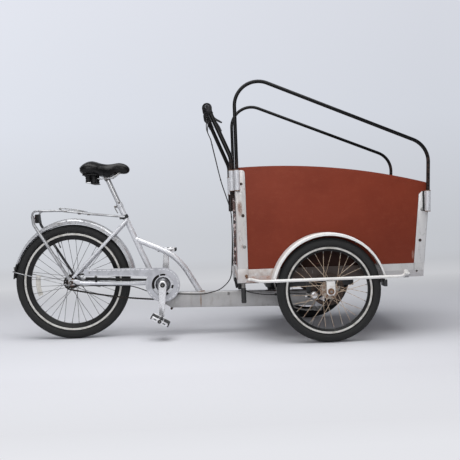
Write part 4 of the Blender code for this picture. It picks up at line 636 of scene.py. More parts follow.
def merged(parts):
    """One mesh from several, each keeping its own shape."""
    whole = bmesh.new()
    for part in parts:
        carrier = filled("carrier", part)
        whole.from_mesh(carrier)
        bpy.data.meshes.remove(carrier)
    return whole


def piece(name, body, parts, node=None, sharp=35.0):
    """Makes a piece from [(mesh, finish name), ...], puts it on a body, and hides the node it stands for."""
    names = list(dict.fromkeys(finish_name for _, finish_name in parts))
    for part, finish_name in parts:
        bmesh.ops.recalc_face_normals(part, faces=part.faces)
        for face in part.faces:
            face.material_index = names.index(finish_name)
            face.smooth = True
    data = filled(name, moved(merged([part for part, _ in parts]), (AXLE_X, 0, 0)))
    for finish_name in names:
        data.materials.append(finish(finish_name))
    data.set_sharp_from_angle(angle=radians(sharp))
    obj = placed(name, data)
    if body:
        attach(obj, body)
    if node:
        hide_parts(node)
    return obj


def both_sides(name, build, node):
    """A steered piece on the right and its mirror image on the left. build returns the right one's parts."""
    for word in SIDES:
        parts = build()
        if word == "left":
            parts = [(mirrored(part), finish_name) for part, finish_name in parts]
        piece(name + "_" + word, "front_unit", parts, node + "_" + word)


def bolt_head(place, way, radius=0.0055, height=0.0035, washer=True):
    """A domed bolt head on a washer."""
    way = Vector(way).normalized()
    profile = [(0, height), (radius * 0.5, height * 0.86), (radius * 0.85, height * 0.5), (radius, 0.0006),
        (radius, 0)]
    if washer:
        profile += [(radius * 1.35, 0), (radius * 1.35, -0.0008)]
    profile += [(0, -0.0008)]
    return lathe(profile, Vector(place) + way * 0.0008, way, 16)


def hex_nut(place, way, radius=0.009, height=0.007):
    return softened(lathe([(0, 0), (radius, 0), (radius, height), (0, height)], place, way, 6), 0.0007, 2, 40)


def weld(path, radius=0.0022):
    """A bead of weld along a closed joint, slightly lumpy."""
    radii = [radius * (1.0 + 0.22 * sin(i * 2.4)) for i in range(len(path))]
    return swept(path, radii, 8, closed=True)


def ring_path(centre, way, radius, count=28, stretch=1.0, along=None):
    """Points round a circle, or an ellipse drawn out along a direction."""
    way = Vector(way).normalized()
    a = Vector(along or (0, 1, 0))
    a = (a - way * a.dot(way)).normalized()
    b = way.cross(a)
    return [Vector(centre) + a * radius * stretch * cos(tau * i / count) + b * radius * sin(tau * i / count)
        for i in range(count)]


def parted(bm, test):
    """Splits a mesh in two by its faces: those that fail the test, and those that pass it."""
    other = bm.copy()
    bmesh.ops.delete(bm, geom=[f for f in bm.faces if test(f)], context="FACES")
    bmesh.ops.delete(other, geom=[f for f in other.faces if not test(f)], context="FACES")
    return bm, other


def puffed(bm, cap, voxel=0.005, frames=20):
    """Blows a closed pad up with cloth, as stuffing does, and keeps each point within cap of its start."""
    scene = bpy.context.scene
    pad = placed("pad", filled("pad", bm))

    def shaped():
        graph = bpy.context.evaluated_depsgraph_get()
        return bpy.data.meshes.new_from_object(pad.evaluated_get(graph))
    remesh = pad.modifiers.new("remesh", "REMESH")
    remesh.mode = "VOXEL"
    remesh.voxel_size = voxel
    remesh.use_smooth_shade = True
    even = shaped()
    pad.modifiers.clear()
    pad.data = even
    start = [v.co.copy() for v in even.vertices]
    cloth = pad.modifiers.new("cloth", "CLOTH")
    cloth.settings.quality = 6
    cloth.settings.use_pressure = True
    cloth.settings.uniform_pressure_force = 4.0
    cloth.settings.effector_weights.gravity = 0.0
    for number in range(1, frames + 1):
        scene.frame_set(number)
    blown = shaped()
    for vert, still, was in zip(blown.vertices, even.vertices, start):
        shift = vert.co - was
        still.co = was + shift * min(1.0, cap / max(shift.length, 1e-9))
    pad.modifiers.clear()
    scene.frame_set(1)
    subdivision = pad.modifiers.new("smooth", "SUBSURF")
    subdivision.levels = 1
    subdivision.render_levels = 1
    result = bmesh.new()
    result.from_mesh(shaped())
    bpy.data.objects.remove(pad, do_unlink=True)
    return result


# ---- Frame, fender and rack ----

def build_frame_tubes():
    front = HEAD_X - 0.022
    beam = prism([(0.4, beam_top(0.4)), (0.4, beam_top(0.4) - 0.012), (0.51, beam_top(0.51) - 0.08),
            (front, beam_top(front) - 0.08), (front, beam_top(front))], "Y", -0.03, 0.03, 2.6, 3)
    foot = at(0.672, 0, beam_top(0.672))
    bolt = rod(0.0062, (0.5105, -0.026, 0.14), (0.5105, 0.026, 0.14), 20, 1.5)
    lug = box((0.806, -0.0318, 0.2), (0.818, -0.0295, 0.2155), 0.6)
    piece("beam_tube", "frame", [(beam, "silver_enamel_beam_shaded"), (bolt, DARK), (lug, ZINC)], "main_beam")
    head = sleeve(0.028, 0.0166, (HEAD_X, 0, 0.112), (HEAD_X, 0, 0.262), 48, 2.0)
    cups = sleeve(0.0295, 0.0168, (HEAD_X, 0, 0.113), (HEAD_X, 0, 0.123), 48, 1.0)
    upper = sleeve(0.0295, 0.0168, (HEAD_X, 0, 0.251), (HEAD_X, 0, 0.261), 48, 1.0)
    piece("head_tube", "frame", [(head, ENAMEL), (cups, ZINC), (upper, ZINC)], "steering_head")
    seat = swept([seat_tube_at(0.222), seat_tube_at(0.4), seat_tube_at(0.6), seat_tube_at(0.7)], 0.015, 32)
    at_beam = weld(ring_path(seat_tube_at(0.2275), (0.0235, 0, 1), 0.0158, 28, 1.08, (1, 0, 0)))
    piece("seat_tube_pipe", "frame", [(seat, ENAMEL), (at_beam, ENAMEL)], "seat_tube")
    start = seat_tube_at(0.512)
    curve = bent([start, (0.55, 0, 0.415), (0.672 + 0.004, 0, 0.205 - 0.007)], 0.3, 16)
    tube = swept(curve, 0.0155, 32)
    bead = weld(ring_path(foot + at(-0.004, 0, 0.001), (0.0235, 0, 1), 0.016, 30, 1.16, (1, 0, 0)), 0.0026)
    collar = weld(ring_path(start + at(0.0128, 0, -0.0048), (0.9, 0, -0.35), 0.016, 28, 1.0), 0.0016)
    piece("curved_tube", "frame", [(tube, ENAMEL), (bead, "silver_enamel_welded"), (collar, ENAMEL)],
        "top_tube")
    shell = sleeve(0.0215, 0.012, (BB.x, -0.035, BB.z), (BB.x, 0.035, BB.z), 40, 1.2)
    cup = sleeve(0.019, 0.012, (BB.x, -0.0362, BB.z), (BB.x, -0.03, BB.z), 24, 0.8)
    ring = sleeve(0.0195, 0.012, (BB.x, 0.03, BB.z), (BB.x, 0.0372, BB.z), 8, 0.8)
    piece("crank_shell", "frame", [(shell, ENAMEL), (cup, ZINC), (ring, ZINC)], "bottom_bracket_shell")
    build_stays()


def build_stays():
    low = []
    high = []
    start = at(0.01, 0, 0.3255)
    stay_top = at(seat_tube_at(0.612).x + 0.002, 0, 0.612)
    for side in (-1, 1):
        path = [at(x, side * y, z) for x, y, z in ((0.046, 0.0605, 0.297), (0.1, 0.057, 0.294),
                (0.3, 0.0425, 0.2836), (0.418, 0.024, 0.2776))]
        line = bent(path, [0.25, 0.25], 6)
        low.append((swept(line, [0.0088] + [0.011] * (len(line) - 1), 24), ENAMEL))
        outline = [(-0.013, 0.292), (-0.004, 0.287), (0.026, 0.287), (0.06, 0.29), (0.06, 0.304),
            (0.026, 0.316), (-0.004, 0.314), (-0.013, 0.308)]
        plate = prism(outline, "Y", 0.058, 0.063, 1.2)
        low.append((plate if side > 0 else mirrored(plate), ENAMEL))
        foot = start + at(0, side * 0.0605, 0)
        top = stay_top + at(0, side * 0.023, 0)
        shoulder = foot.lerp(top, 0.9)
        shoulder.y = side * 0.031
        line = bent([foot, shoulder, top], [0.05], 6)
        high.append((swept(line, [0.0075] + [0.0091] * (len(line) - 1), 24), ENAMEL))
    low.append((swept([(0.345, -0.0385, 0.2816), (0.345, 0.0385, 0.2816)], 0.007, 20), ENAMEL))
    stop = rod(0.0042, (0.15, -0.0535, 0.2805), (0.182, -0.0512, 0.2788), 12)
    low.append((stop, NYLON))
    piece("chain_stays", "frame", low, "chainstays")
    way = (stay_top - start).normalized()
    back = start - at(0, 0, REAR_R)
    reach = math.sqrt(back.dot(way) ** 2 - back.dot(back) + 0.3393 ** 2) - back.dot(way)
    bridge = start + way * reach
    high.append((swept([bridge + at(0, -0.034, 0), bridge + at(0, 0.034, 0)], 0.006, 16), ENAMEL))
    piece("seat_stays", "frame", high, "seatstays")
    axle = rod(0.005, (0, -0.081, REAR_R), (0, 0.081, REAR_R), 20, 0.8)
    parts = [(axle, ZINC)]
    for side in (-1, 1):
        nut = hex_nut((0, side * 0.0645, REAR_R), (0, side, 0), 0.01, 0.0092)
        washer = sleeve(0.0112, 0.0052, (0, side * 0.0632, REAR_R), (0, side * 0.0646, REAR_R), 24, 0.3)
        parts += [(nut, DARK), (washer, RUST)]
    piece("rear_axle_rod", "frame", parts, "rear_axle")


FENDER_DRAWN_IN = 0.0195


def build_rear_fender():
    skirt = 0.305
    crown = [(0.333 - 0.0135 * abs(i / 8) ** 2.6, 0.026 * i / 8) for i in range(-8, 9)]
    outer = [(skirt, -0.026)] + crown + [(skirt, 0.026)]
    inner = [(r - 0.0015, y * 0.94) for r, y in reversed(outer)]
    inner[0] = (skirt, 0.0245)
    inner[-1] = (skirt, -0.0245)
    parts = [(arc_sheet(outer + inner, (0, REAR_R), 10.0, 160.0, 110), "mudguard_alloy"),
        (arc_sheet(outer + inner, (0, REAR_R), 160.0, 175.0, 12), NYLON)]
    for side in (-1, 1):
        line = [wheel_way(radians(a)) * skirt + at(0, side * 0.0258, REAR_R) for a in range(10, 161, 2)]
        parts.append((swept(line, 0.0013, 8), "mudguard_alloy"))
    for sheet, _ in parts:
        for vert in sheet.verts:
            out = at(vert.co.x, 0, vert.co.z - REAR_R)
            closer = FENDER_DRAWN_IN * min(1.0, max(0.0, math.degrees(atan2(out.z, out.x)) - 88.0) / 64.0)
            share = (out.length - 0.3) / 0.033
            vert.co -= out.normalized() * closer * share
    hold = wheel_way(radians(166.6)) * (0.3335 - FENDER_DRAWN_IN) + at(0, 0, REAR_R)
    clip = turned(box((-0.012, -0.008, -0.0016), (0.012, 0.008, 0.0016), 0.5), 80, (0, 0, 0))
    parts += [(moved(clip, hold + at(-0.001, 0, 0.003)), ZINC), (bolt_head(hold + at(-0.003, 0, 0.002),
            (-1, 0, 0.2), 0.003, 0.002, False), ZINC)]
    piece("rear_mudguard", "frame", parts, "rear_fender")
    tail = wheel_way(radians(168)) * (0.3358 - FENDER_DRAWN_IN)
    foot = (-0.012, 0.0665, REAR_R - 0.013)
    corner = (tail.x, 0.034, REAR_R + tail.z)
    path = bent([(x, -y, z) for x, y, z in (foot, corner)] + [corner, foot], 0.012, 8)
    wire = swept(path, 0.0022, 14)
    eyes = [(lathe([(0.0026, -0.0012), (0.0052, -0.0012), (0.0052, 0.0012), (0.0026, 0.0012)],
            (foot[0], side * foot[1], foot[2]), "Y", 16), NICKEL) for side in (-1, 1)]
    piece("mudguard_stay", "frame", [(wire, NICKEL)] + eyes, "rear_fender_stay")


def build_rack():
    parts = []
    start = seat_tube_at(0.63) + at(0, 0.0225, 0)
    foot_y = 0.063 + 0.0055 + 0.0003
    for side in (-1, 1):
        corners = [start, (0.12, 0.052, 0.65), (-0.04, 0.064, 0.674), (-0.186, 0.064, 0.677),
            (-0.178, 0.064, 0.606), (-0.004, foot_y, REAR_R + 0.015)]
        corners = [(c[0], side * c[1], c[2]) for c in corners]
        line = bent(corners, [0.08, 0.08, 0.022, 0.04], 8)
        down = [p for p in line if p.z < 0.655 and p.x < 0.05]
        # Painted shade and dark reflection: the far stay's lower leg is black powder coat, though it is the
        # same plated tube as the near one.
        parts += [(swept(line[:len(line) - len(down) + 1], 0.0052, 16), NICKEL),
            (swept(down, 0.0082 if side < 0 else 0.0068, 16), NICKEL if side < 0 else BLACK)]
        eye = prism([(-0.012, REAR_R + 0.006), (0.004, REAR_R + 0.006), (0.004, REAR_R + 0.026),
                (-0.012, REAR_R + 0.026)], "Y", side * 0.0635, side * 0.0665, 0.8)
        parts.append((eye, CHROME))
    for x, half, z in ((-0.13, 0.064, 0.676), (-0.04, 0.063, 0.673), (0.07, 0.056, 0.6565)):
        parts.append((swept([(x, -half, z), (x, half, z)], 0.0044, 14), NICKEL))
    for side in (-1, 1):
        line = [(-0.13, side * 0.022, 0.6772), (-0.04, side * 0.022, 0.6745), (0.07, side * 0.02, 0.6585)]
        parts.append((swept(smooth_line(line, 8), 0.003, 10), CHROME))
    low = seat_tube_at(0.63) - SEAT_WAY * 0.009
    high = seat_tube_at(0.63) + SEAT_WAY * 0.009
    parts.append((sleeve(0.0172, 0.0151, low, high, 32, 0.8), BLACK))
    ear = seat_tube_at(0.63) + at(-0.021, 0, -0.004)
    parts.append((box(ear - at(0.008, 0.011, 0.008), ear + at(0.008, 0.011, 0.008), 2.0), BLACK))
    for x, y, z in ((-0.012, -0.064, 0.668), (0.058, -0.0585, 0.6535), (0.105, -0.0545, 0.6475)):
        parts.append((box((x - 0.008, y - 0.004, z - 0.002), (x + 0.008, y + 0.004, z + 0.003), 1.2), DARK))
    parts.append((rod(0.0035, ear + at(0, -0.013, 0), ear + at(0, 0.013, 0), 12), ZINC))
    spring = []
    for i in range(60):
        angle = tau * i / 10
        spring.append((-0.044 + 0.0042 * cos(angle), -0.0545 + 0.0011 * i * 0.35, 0.6835 + 0.0042
                * sin(angle)))
    parts.append((swept(spring, 0.0009, 6), ZINC))
    flap = [(-0.044, -0.0545, 0.688), (0.01, -0.052, 0.679), (0.064, -0.043, 0.668), (0.08, -0.03, 0.666),
        (0.082, 0.0, 0.6655), (0.08, 0.03, 0.666), (0.064, 0.043, 0.668), (0.01, 0.052, 0.679),
        (-0.044, 0.0545, 0.688)]
    parts.append((swept(smooth_line(flap, 6), 0.0022, 10), CHROME))
    piece("luggage_rack", "frame", parts, "rear_rack")
    lens = prism([(-0.022, 0.618), (0.022, 0.618), (0.022, 0.656), (-0.022, 0.656)], "X", -0.184, -0.178, 1.5,
        2)
    case = prism([(-0.024, 0.614), (0.024, 0.614), (0.024, 0.66), (-0.024, 0.66)], "X", -0.182, -0.164, 2.0,
        3)
    bar = swept([(-0.181, -0.0589, 0.64), (-0.181, 0.0589, 0.64)], 0.004, 14)
    piece("tail_lens", "frame", [(lens, "acrylic_red_shaded"), (case, NYLON), (bar, CHROME)], "tail_reflector")


# ---- Wheels ----

COG_R = 0.0345


def tyre_mesh(centre, radius, drop, tread):
    ring = radius - 0.0235
    foot = radius - drop + 0.0003
    widest = math.degrees(math.acos((foot + 0.002 - ring) / 0.0235))
    steps = 240
    rows = []
    for i in range(steps):
        turn = tau * i / steps
        spots = [(foot, -0.0132)]
        for k in range(33):
            degrees = -widest + 2 * widest * k / 32
            lean = abs(degrees)
            cut = lean < 50 and lean > 7 and (i + int(lean / 7) + (2 if degrees > 0 else 0)) % 5 == 0
            line = 5 < lean < 9 or 27 < lean < 31
            rib = 0.0004 if 66 < lean < 72 or 104 < lean < 109 else 0.0
            tube = 0.0235 - (tread if cut else tread * 0.6 if line else 0.0) + (rib if lean > 60 else 0.0)
            angle = radians(degrees)
            spots.append((ring + tube * cos(angle), tube * sin(angle)))
        spots.append((foot, 0.0132))
        rows.append([Vector(centre) + at(r * cos(turn), y, r * sin(turn)) for r, y in spots])
    return skin(rows, closed=True)


def rim_meshes(centre, outer, lip, overlap, track, height):
    """A rim: its black well, the bright brake tracks, and the black lips that hold the tyre."""
    half = 0.0125
    edge = outer - lip
    inner = edge - height
    well = lathe([(edge - track, -half + 0.0004), (inner + 0.004, -half * 0.66), (inner, -half * 0.42),
            (inner, half * 0.42), (inner + 0.004, half * 0.66), (edge - track, half - 0.0004)], centre, "Y",
        120)
    parts = [(well, "rim_black")]
    for side in (-1, 1):
        face = [(edge - track, half - 0.002), (edge - 0.0015, half - 0.002), (edge, half - 0.0008),
            (edge, half), (edge - 0.0015, half + 0.0002), (edge - track * 0.5, half - 0.0002),
            (edge - track + 0.001, half), (edge - track, half - 0.0006)]
        parts.append((lathe([(r, side * y) for r, y in face], centre, "Y", 120), "rim_track"))
    for side in (-1, 1):
        bead = [(edge - overlap, side * 0.01), (outer, side * 0.01), (outer, side * 0.0122),
            (edge - overlap, side * 0.0126)]
        parts.append((lathe(bead, centre, "Y", 120), "rim_black"))
    return parts


def spoke_meshes(count, centre, flange, rim_r, diameter, wire, hub_r=0.0295):
    """Crossed spokes: each leaves its flange at a slant, alternately leading and trailing."""
    centre = Vector(centre)
    wires = []
    nipples = []
    heads = []
    holes = count // 2
    for side in (-1, 1):
        for i in range(holes):
            lead = 1 if i % 2 else -1
            rim_angle = tau * (i + (0.25 if side > 0 else 0.75)) / holes
            hub_angle = rim_angle + lead * radians(42.0)
            y0 = side * flange + lead * 0.0009
            way = wheel_way(hub_angle)
            start = way * hub_r + at(0, y0 + lead * 0.0016, 0)
            end = wheel_way(rim_angle) * rim_r + at(0, side * 0.002, 0)
            run = (end - start).normalized()
            wires.append(swept([centre + start - run * 0.001, centre + end], diameter / 2, 6))
            nipples.append(swept([centre + end - run * 0.012, centre + end - run * 0.003, centre + end],
                    [0.0017, 0.0021, 0.0021], 6))
            spot = centre + way * hub_r + at(0, side * flange + lead * 0.002, 0)
            heads.append(bolt_head(spot, (0, lead, 0), 0.0021, 0.0013, False))
    return [(merged(wires), wire), (merged(nipples), ZINC), (merged(heads), wire)]


def build_rear_wheel(sizes):
    centre = (0, 0, REAR_R)
    edge = REAR_R - 0.04
    piece("rear_tyre_tread", "rear_wheel", [(tyre_mesh(centre, REAR_R, 0.04, sizes.tread_depth),
            "tyre_rubber")], "rear_tyre", 24)
    parts = rim_meshes(centre, edge, 0.0045, 0.0005, 0.0105, 0.0345)
    parts += spoke_meshes(sizes.rear_spokes, centre, 0.03, edge - 0.0375, sizes.spoke_diameter * 1.2,
        "spoke_wire")
    hub = [(0.0054, -0.0395), (0.019, -0.0395), (0.02, -0.0385), (0.02, -0.0335), (0.034, -0.0322),
        (0.034, -0.0278), (0.026, -0.0268), (0.0215, -0.0235), (0.0205, -0.018), (0.0205, 0.018),
        (0.0215, 0.0235), (0.026, 0.0268), (0.034, 0.0278), (0.034, 0.0322), (0.022, 0.033), (0.021, 0.037),
        (0.018, 0.04), (0.0054, 0.04)]
    parts.append((softened(lathe(hub, centre, "Y", 48), 0.0004, 1, 40), "hub_grey_cast"))
    driver = [(0.0054, -0.052), (0.012, -0.052), (0.014, -0.0505), (0.019, -0.0475), (0.019, -0.0395),
        (0.0054, -0.0395)]
    parts += [(lathe(driver, centre, "Y", 36), RUST), (toothed(centre, 17, COG_R - 0.0025, COG_R, -0.044,
            -0.046), "chain_steel"), (lathe([(0.018, -0.0432), (COG_R - 0.002, -0.0432),
            (COG_R - 0.002, -0.0425), (0.018, -0.0425)], centre, "Y", 36), DARK)]
    reflector = arc_sheet([(0.177, -0.0035), (0.196, -0.0035), (0.199, 0.0), (0.196, 0.0035), (0.177, 0.0035),
            (0.174, 0.0)], (0, REAR_R), 168, 201, 24)
    parts.append((softened(reflector, 0.0008, 2, 60), "acrylic_clear"))
    valve = wheel_way(1.9)
    hub = Vector(centre)
    parts += [(rod(0.0028, hub + valve * 0.196, hub + valve * 0.232, 12), ZINC),
        (rod(0.0034, hub + valve * 0.19, hub + valve * 0.204, 12, 1), NYLON)]
    piece("rear_wheel_laced", "rear_wheel", parts, "rear_wheel", 30)


def toothed(centre, teeth, root, tip, low, high):
    """A toothed wheel's plate: round gullets between short teeth."""
    outline = []
    for i in range(teeth):
        for share, r in ((0.0, root), (0.22, root), (0.4, tip), (0.6, tip), (0.78, root)):
            angle = tau * (i + share) / teeth
            outline.append((centre[0] + r * cos(angle), centre[2] + r * sin(angle)))
    return prism(outline, "Y", min(low, high), max(low, high), 0.2, 1)


def front_wheel_parts(sizes):
    """The right front wheel: rim, spokes, hub and brake disc."""
    centre = FRONT_HUB
    edge = FRONT_HUB.z - 0.038
    parts = rim_meshes(centre, edge, 0.004, 0.0004, 0.0095, 0.0205)
    parts += spoke_meshes(sizes.front_spokes, centre, 0.026, edge - 0.0225, sizes.spoke_diameter * 1.15,
        "spoke_wire_rusty", 0.0355)
    hub = [(0.0064, -0.044), (0.01, -0.044), (0.011, -0.043), (0.0155, -0.03), (0.022, -0.0286),
        (0.04, -0.0282), (0.04, -0.0238), (0.024, -0.0228), (0.016, -0.019), (0.015, -0.012), (0.015, 0.012),
        (0.016, 0.019), (0.024, 0.0228), (0.04, 0.0238), (0.04, 0.0282), (0.022, 0.0286), (0.022, 0.0392),
        (0.018, 0.042), (0.012, 0.045), (0.0064, 0.045)]
    parts.append((softened(lathe(hub, centre, "Y", 48), 0.0004, 1, 40), "hub_alloy_stained"))
    disc = [(0.06, 0.039), (0.0797, 0.039), (0.08, 0.0393), (0.08, 0.0407), (0.0797, 0.041), (0.06, 0.041)]
    parts.append((lathe(disc, centre, "Y", 96), "disc_steel"))
    arms = []
    for i in range(6):
        angle = tau * i / 6
        side = wheel_way(angle + pi / 2)
        out = wheel_way(angle + 0.35) * 0.0615
        near = wheel_way(angle) * 0.024
        spots = [near - side * 0.007, out - side * 0.006, out + side * 0.006, near + side * 0.007]
        arms.append(moved(prism([(p.x, p.z) for p in spots], "Y", 0.0392, 0.0408, 0.3), centre))
    parts += [(merged(arms), "disc_steel"), (lathe([(0.012, 0.0388), (0.03, 0.0388), (0.03, 0.0412),
            (0.012, 0.0412)], centre, "Y", 36), "disc_steel")]
    for i in range(6):
        spot = centre + wheel_way(tau * (i + 0.5) / 6) * 0.024 + at(0, 0.0412, 0)
        parts.append((bolt_head(spot, (0, 1, 0), 0.0032, 0.0022, False), ZINC))
    valve = wheel_way(4.2)
    parts.append((rod(0.0028, centre + valve * 0.152, centre + valve * 0.188, 12), ZINC))
    return parts


def build_front_wheels(sizes):
    for word in SIDES:
        tyre = tyre_mesh(FRONT_HUB, FRONT_HUB.z, 0.038, sizes.tread_depth)
        parts = front_wheel_parts(sizes)
        if word == "left":
            tyre = mirrored(tyre)
            parts = [(mirrored(part), name) for part, name in parts]
        body = "front_wheel_" + word
        piece("tyre_tread_" + word, body, [(tyre, "tyre_rubber")], "tyre_" + word, 24)
        piece("wheel_laced_" + word, body, parts, "wheel_" + word, 30)


# ---- Chain, cranks, pedals and guard ----

CHAIN_Y = -0.045
RING_R = 0.0755
GUARD_Y = -0.0683


def chain_loop(links):
    """The chain's pins: even steps along the loop round both toothed wheels."""
    ring_r = RING_R + 0.0011 + 0.00375
    cog_r = COG_R + 0.00375
    cog = at(0, 0, REAR_R)
    slope = atan2(BB.z - cog.z, BB.x - cog.x)
    wrap = math.asin((ring_r - cog_r) / (BB - cog).length)
    top = pi / 2 + wrap + slope
    low = -pi / 2 - wrap + slope
    dense = [BB + wheel_way(top + (low - top) * i / 80) * ring_r for i in range(81)]
    low_cog = cog + wheel_way(low) * cog_r
    start = dense[-1]
    for i in range(1, 60):
        dense.append(start.lerp(low_cog, i / 60) - at(0, 0, 0.01 * sin(pi * i / 60)))
    dense += [cog + wheel_way(low + (top - tau - low) * i / 60) * cog_r for i in range(61)]
    dense.append(dense[0])
    lengths = [(b - a).length for a, b in zip(dense, dense[1:])]
    pitch = sum(lengths) / links
    pins = []
    gone = 0.0
    for a, b, length in zip(dense, dense[1:], lengths):
        while len(pins) * pitch < gone + length - 1e-9 and len(pins) < links:
            pins.append(a.lerp(b, (len(pins) * pitch - gone) / length))
        gone += length
    return pins


def link_plate(a, b, low, high):
    """A link's side plate: two round eyes and a narrower waist."""
    way = (b - a).normalized()
    up = at(-way.z, 0, way.x)
    outline = []
    for middle, first in ((b, -70), (a, 110)):
        for i in range(5):
            angle = radians(first + 35 * i)
            outline.append(middle + (way * cos(angle) + up * sin(angle)) * 0.0046)
        waist = (a + b) / 2 + up * (0.0036 if first < 0 else -0.0036)
        outline.append(waist)
    return prism([(p.x, p.z) for p in outline], "Y", low, high, 0)


def build_chain(sizes):
    pins = chain_loop(sizes.chain_links)
    y = CHAIN_Y
    plates = []
    rollers = []
    for i, (a, b) in enumerate(zip(pins, pins[1:] + pins[:1])):
        near, far = (0.0011, 0.0019) if i % 2 else (0.002, 0.0028)
        plates += [link_plate(a, b, y - far, y - near), link_plate(a, b, y + near, y + far)]
        rollers.append(lathe([(0, -0.003), (0.0015, -0.003), (0.0015, -0.0018), (0.0037, -0.0018),
                (0.0037, 0.0018), (0.0015, 0.0018), (0.0015, 0.003), (0, 0.003)], a + at(0, y, 0), "Y", 8))
    piece("roller_chain", "frame", [(merged(plates), "chain_steel"), (merged(rollers), "chain_steel")],
        "chain", 30)


def build_chain_guard():
    """The guard's disc round the chainwheel, its tail along the upper run, rolled edges and stamped beads."""
    ring = lathe([(0.058, 0), (0.089, 0), (0.089, 0.0015), (0.058, 0.0015)], BB + at(0, -0.06875, 0), "Y", 96)
    tail = [(BB.x, BB.z + 0.0889), (0.2, REAR_R + 0.0655), (0.072, REAR_R + 0.067), (0.066, REAR_R + 0.05),
        (0.076, REAR_R + 0.031), (0.2, REAR_R + 0.028), (0.4, BB.z + 0.0464)]
    for degrees in range(142, 89, -6):
        spot = BB + wheel_way(radians(degrees)) * 0.06
        tail.append((spot.x, spot.z))
    parts = [(ring, "silver_enamel_guard"), (prism(tail, "Y", -0.06872, -0.06728, 0.3, 1),
            "silver_enamel_guard")]
    for radius, count, wire, sides in ((0.0882, 96, 0.0017, 10), (0.0588, 72, 0.0014, 8)):
        edge = ring_path(BB + at(0, GUARD_Y, 0), (0, 1, 0), radius, count)
        parts.append((swept(edge, wire, sides, closed=True), ENAMEL))
    for edge in (((0.45, BB.z + 0.0885), (0.2, REAR_R + 0.0648), (0.075, REAR_R + 0.066)),
            ((0.396, BB.z + 0.0474), (0.2, REAR_R + 0.0288), (0.08, REAR_R + 0.0318))):
        parts.append((swept([(x, GUARD_Y, z) for x, z in edge], 0.0014, 8), ENAMEL))
    dashes = []
    for i in range(22):
        angle = radians(100 - i * 360 / 24)
        if 135 < (math.degrees(angle) % 360) < 195:
            continue
        dash = turned(box((-0.0065, -0.0005, -0.0011), (0.0065, 0.0005, 0.0011), 0.3), 90
            - math.degrees(angle), (0, 0, 0))
        dashes.append(moved(dash, BB + wheel_way(angle) * 0.08 + at(0, -0.069, 0)))
    for i in range(14):
        x = 0.42 - i * 0.0245
        z = REAR_R + 0.0575 + (x - 0.2) * -0.018
        dashes.append(box((x - 0.0085, -0.0695, z - 0.0013), (x + 0.0085, -0.0686, z + 0.0013), 0.3))
    parts.append((merged(dashes), "rubbed_steel_and_highlight"))
    # A black strip along the lower edge of the guard's tail darkens the band above the chain stay.
    strip = prism([(0.07, 0.31), (0.2, 0.3045), (0.392, 0.2945), (0.392, 0.306), (0.2, 0.318),
            (0.078, 0.326)], "Y", -0.0668, -0.0648, 0.4)
    tab = box((0.124, -0.0645, 0.296), (0.136, -0.063, REAR_R + 0.03), 0.3)
    parts += [(strip, NYLON), (tab, NYLON)]
    for x, z, radius, height in ((0.13, 0.33, 0.0036, 0.0022), (0.098, 0.348, 0.003, 0.002)):
        parts.append((bolt_head((x, -0.0688, z), (0, -1, 0), radius, height), ZINC))
    piece("chain_case", "frame", parts, "chain_guard")
    arm = cad("brake_arm", 0.5, 1)
    bolt = bolt_head((0.124, 0.0555, 0.279), (0, 1, 0), 0.0035, 0.0025, False)
    piece("hub_brake_arm", "frame", [(arm, ZINC), (bolt, ZINC)], "brake_arm")


def arm_outline(radius_a, radius_b, length):
    outline = []
    for middle, radius, first in ((0.0, radius_a, 5), (-length, radius_b, 185)):
        for i in range(13):
            angle = radians(first + 170 * i / 12)
            outline.append((BB.x + radius * cos(angle), BB.z + middle + radius * sin(angle)))
    return outline


def crank_parts(side):
    low, high = sorted((side * 0.078, side * 0.092))
    arm = prism(arm_outline(0.0218, 0.0132, CRANK_LENGTH), "Y", low, high, 3.5, 4)
    turned(arm, 4.0 if side < 0 else 184.0, BB)
    cap = lathe([(0, side * 0.0915), (0.0125, side * 0.0915), (0.0125, side * 0.0925),
            (0.0105, side * 0.0932), (0.0055, side * 0.0932), (0.005, side * 0.0924), (0, side * 0.0924)], BB,
        "Y", 28)
    middle = lathe([(0, side * 0.092), (0.005, side * 0.092), (0.0046, side * 0.0929), (0, side * 0.093)], BB,
        "Y", 20)
    return [(arm, "forged_aluminium"), (cap, NYLON), (middle, ZINC)]


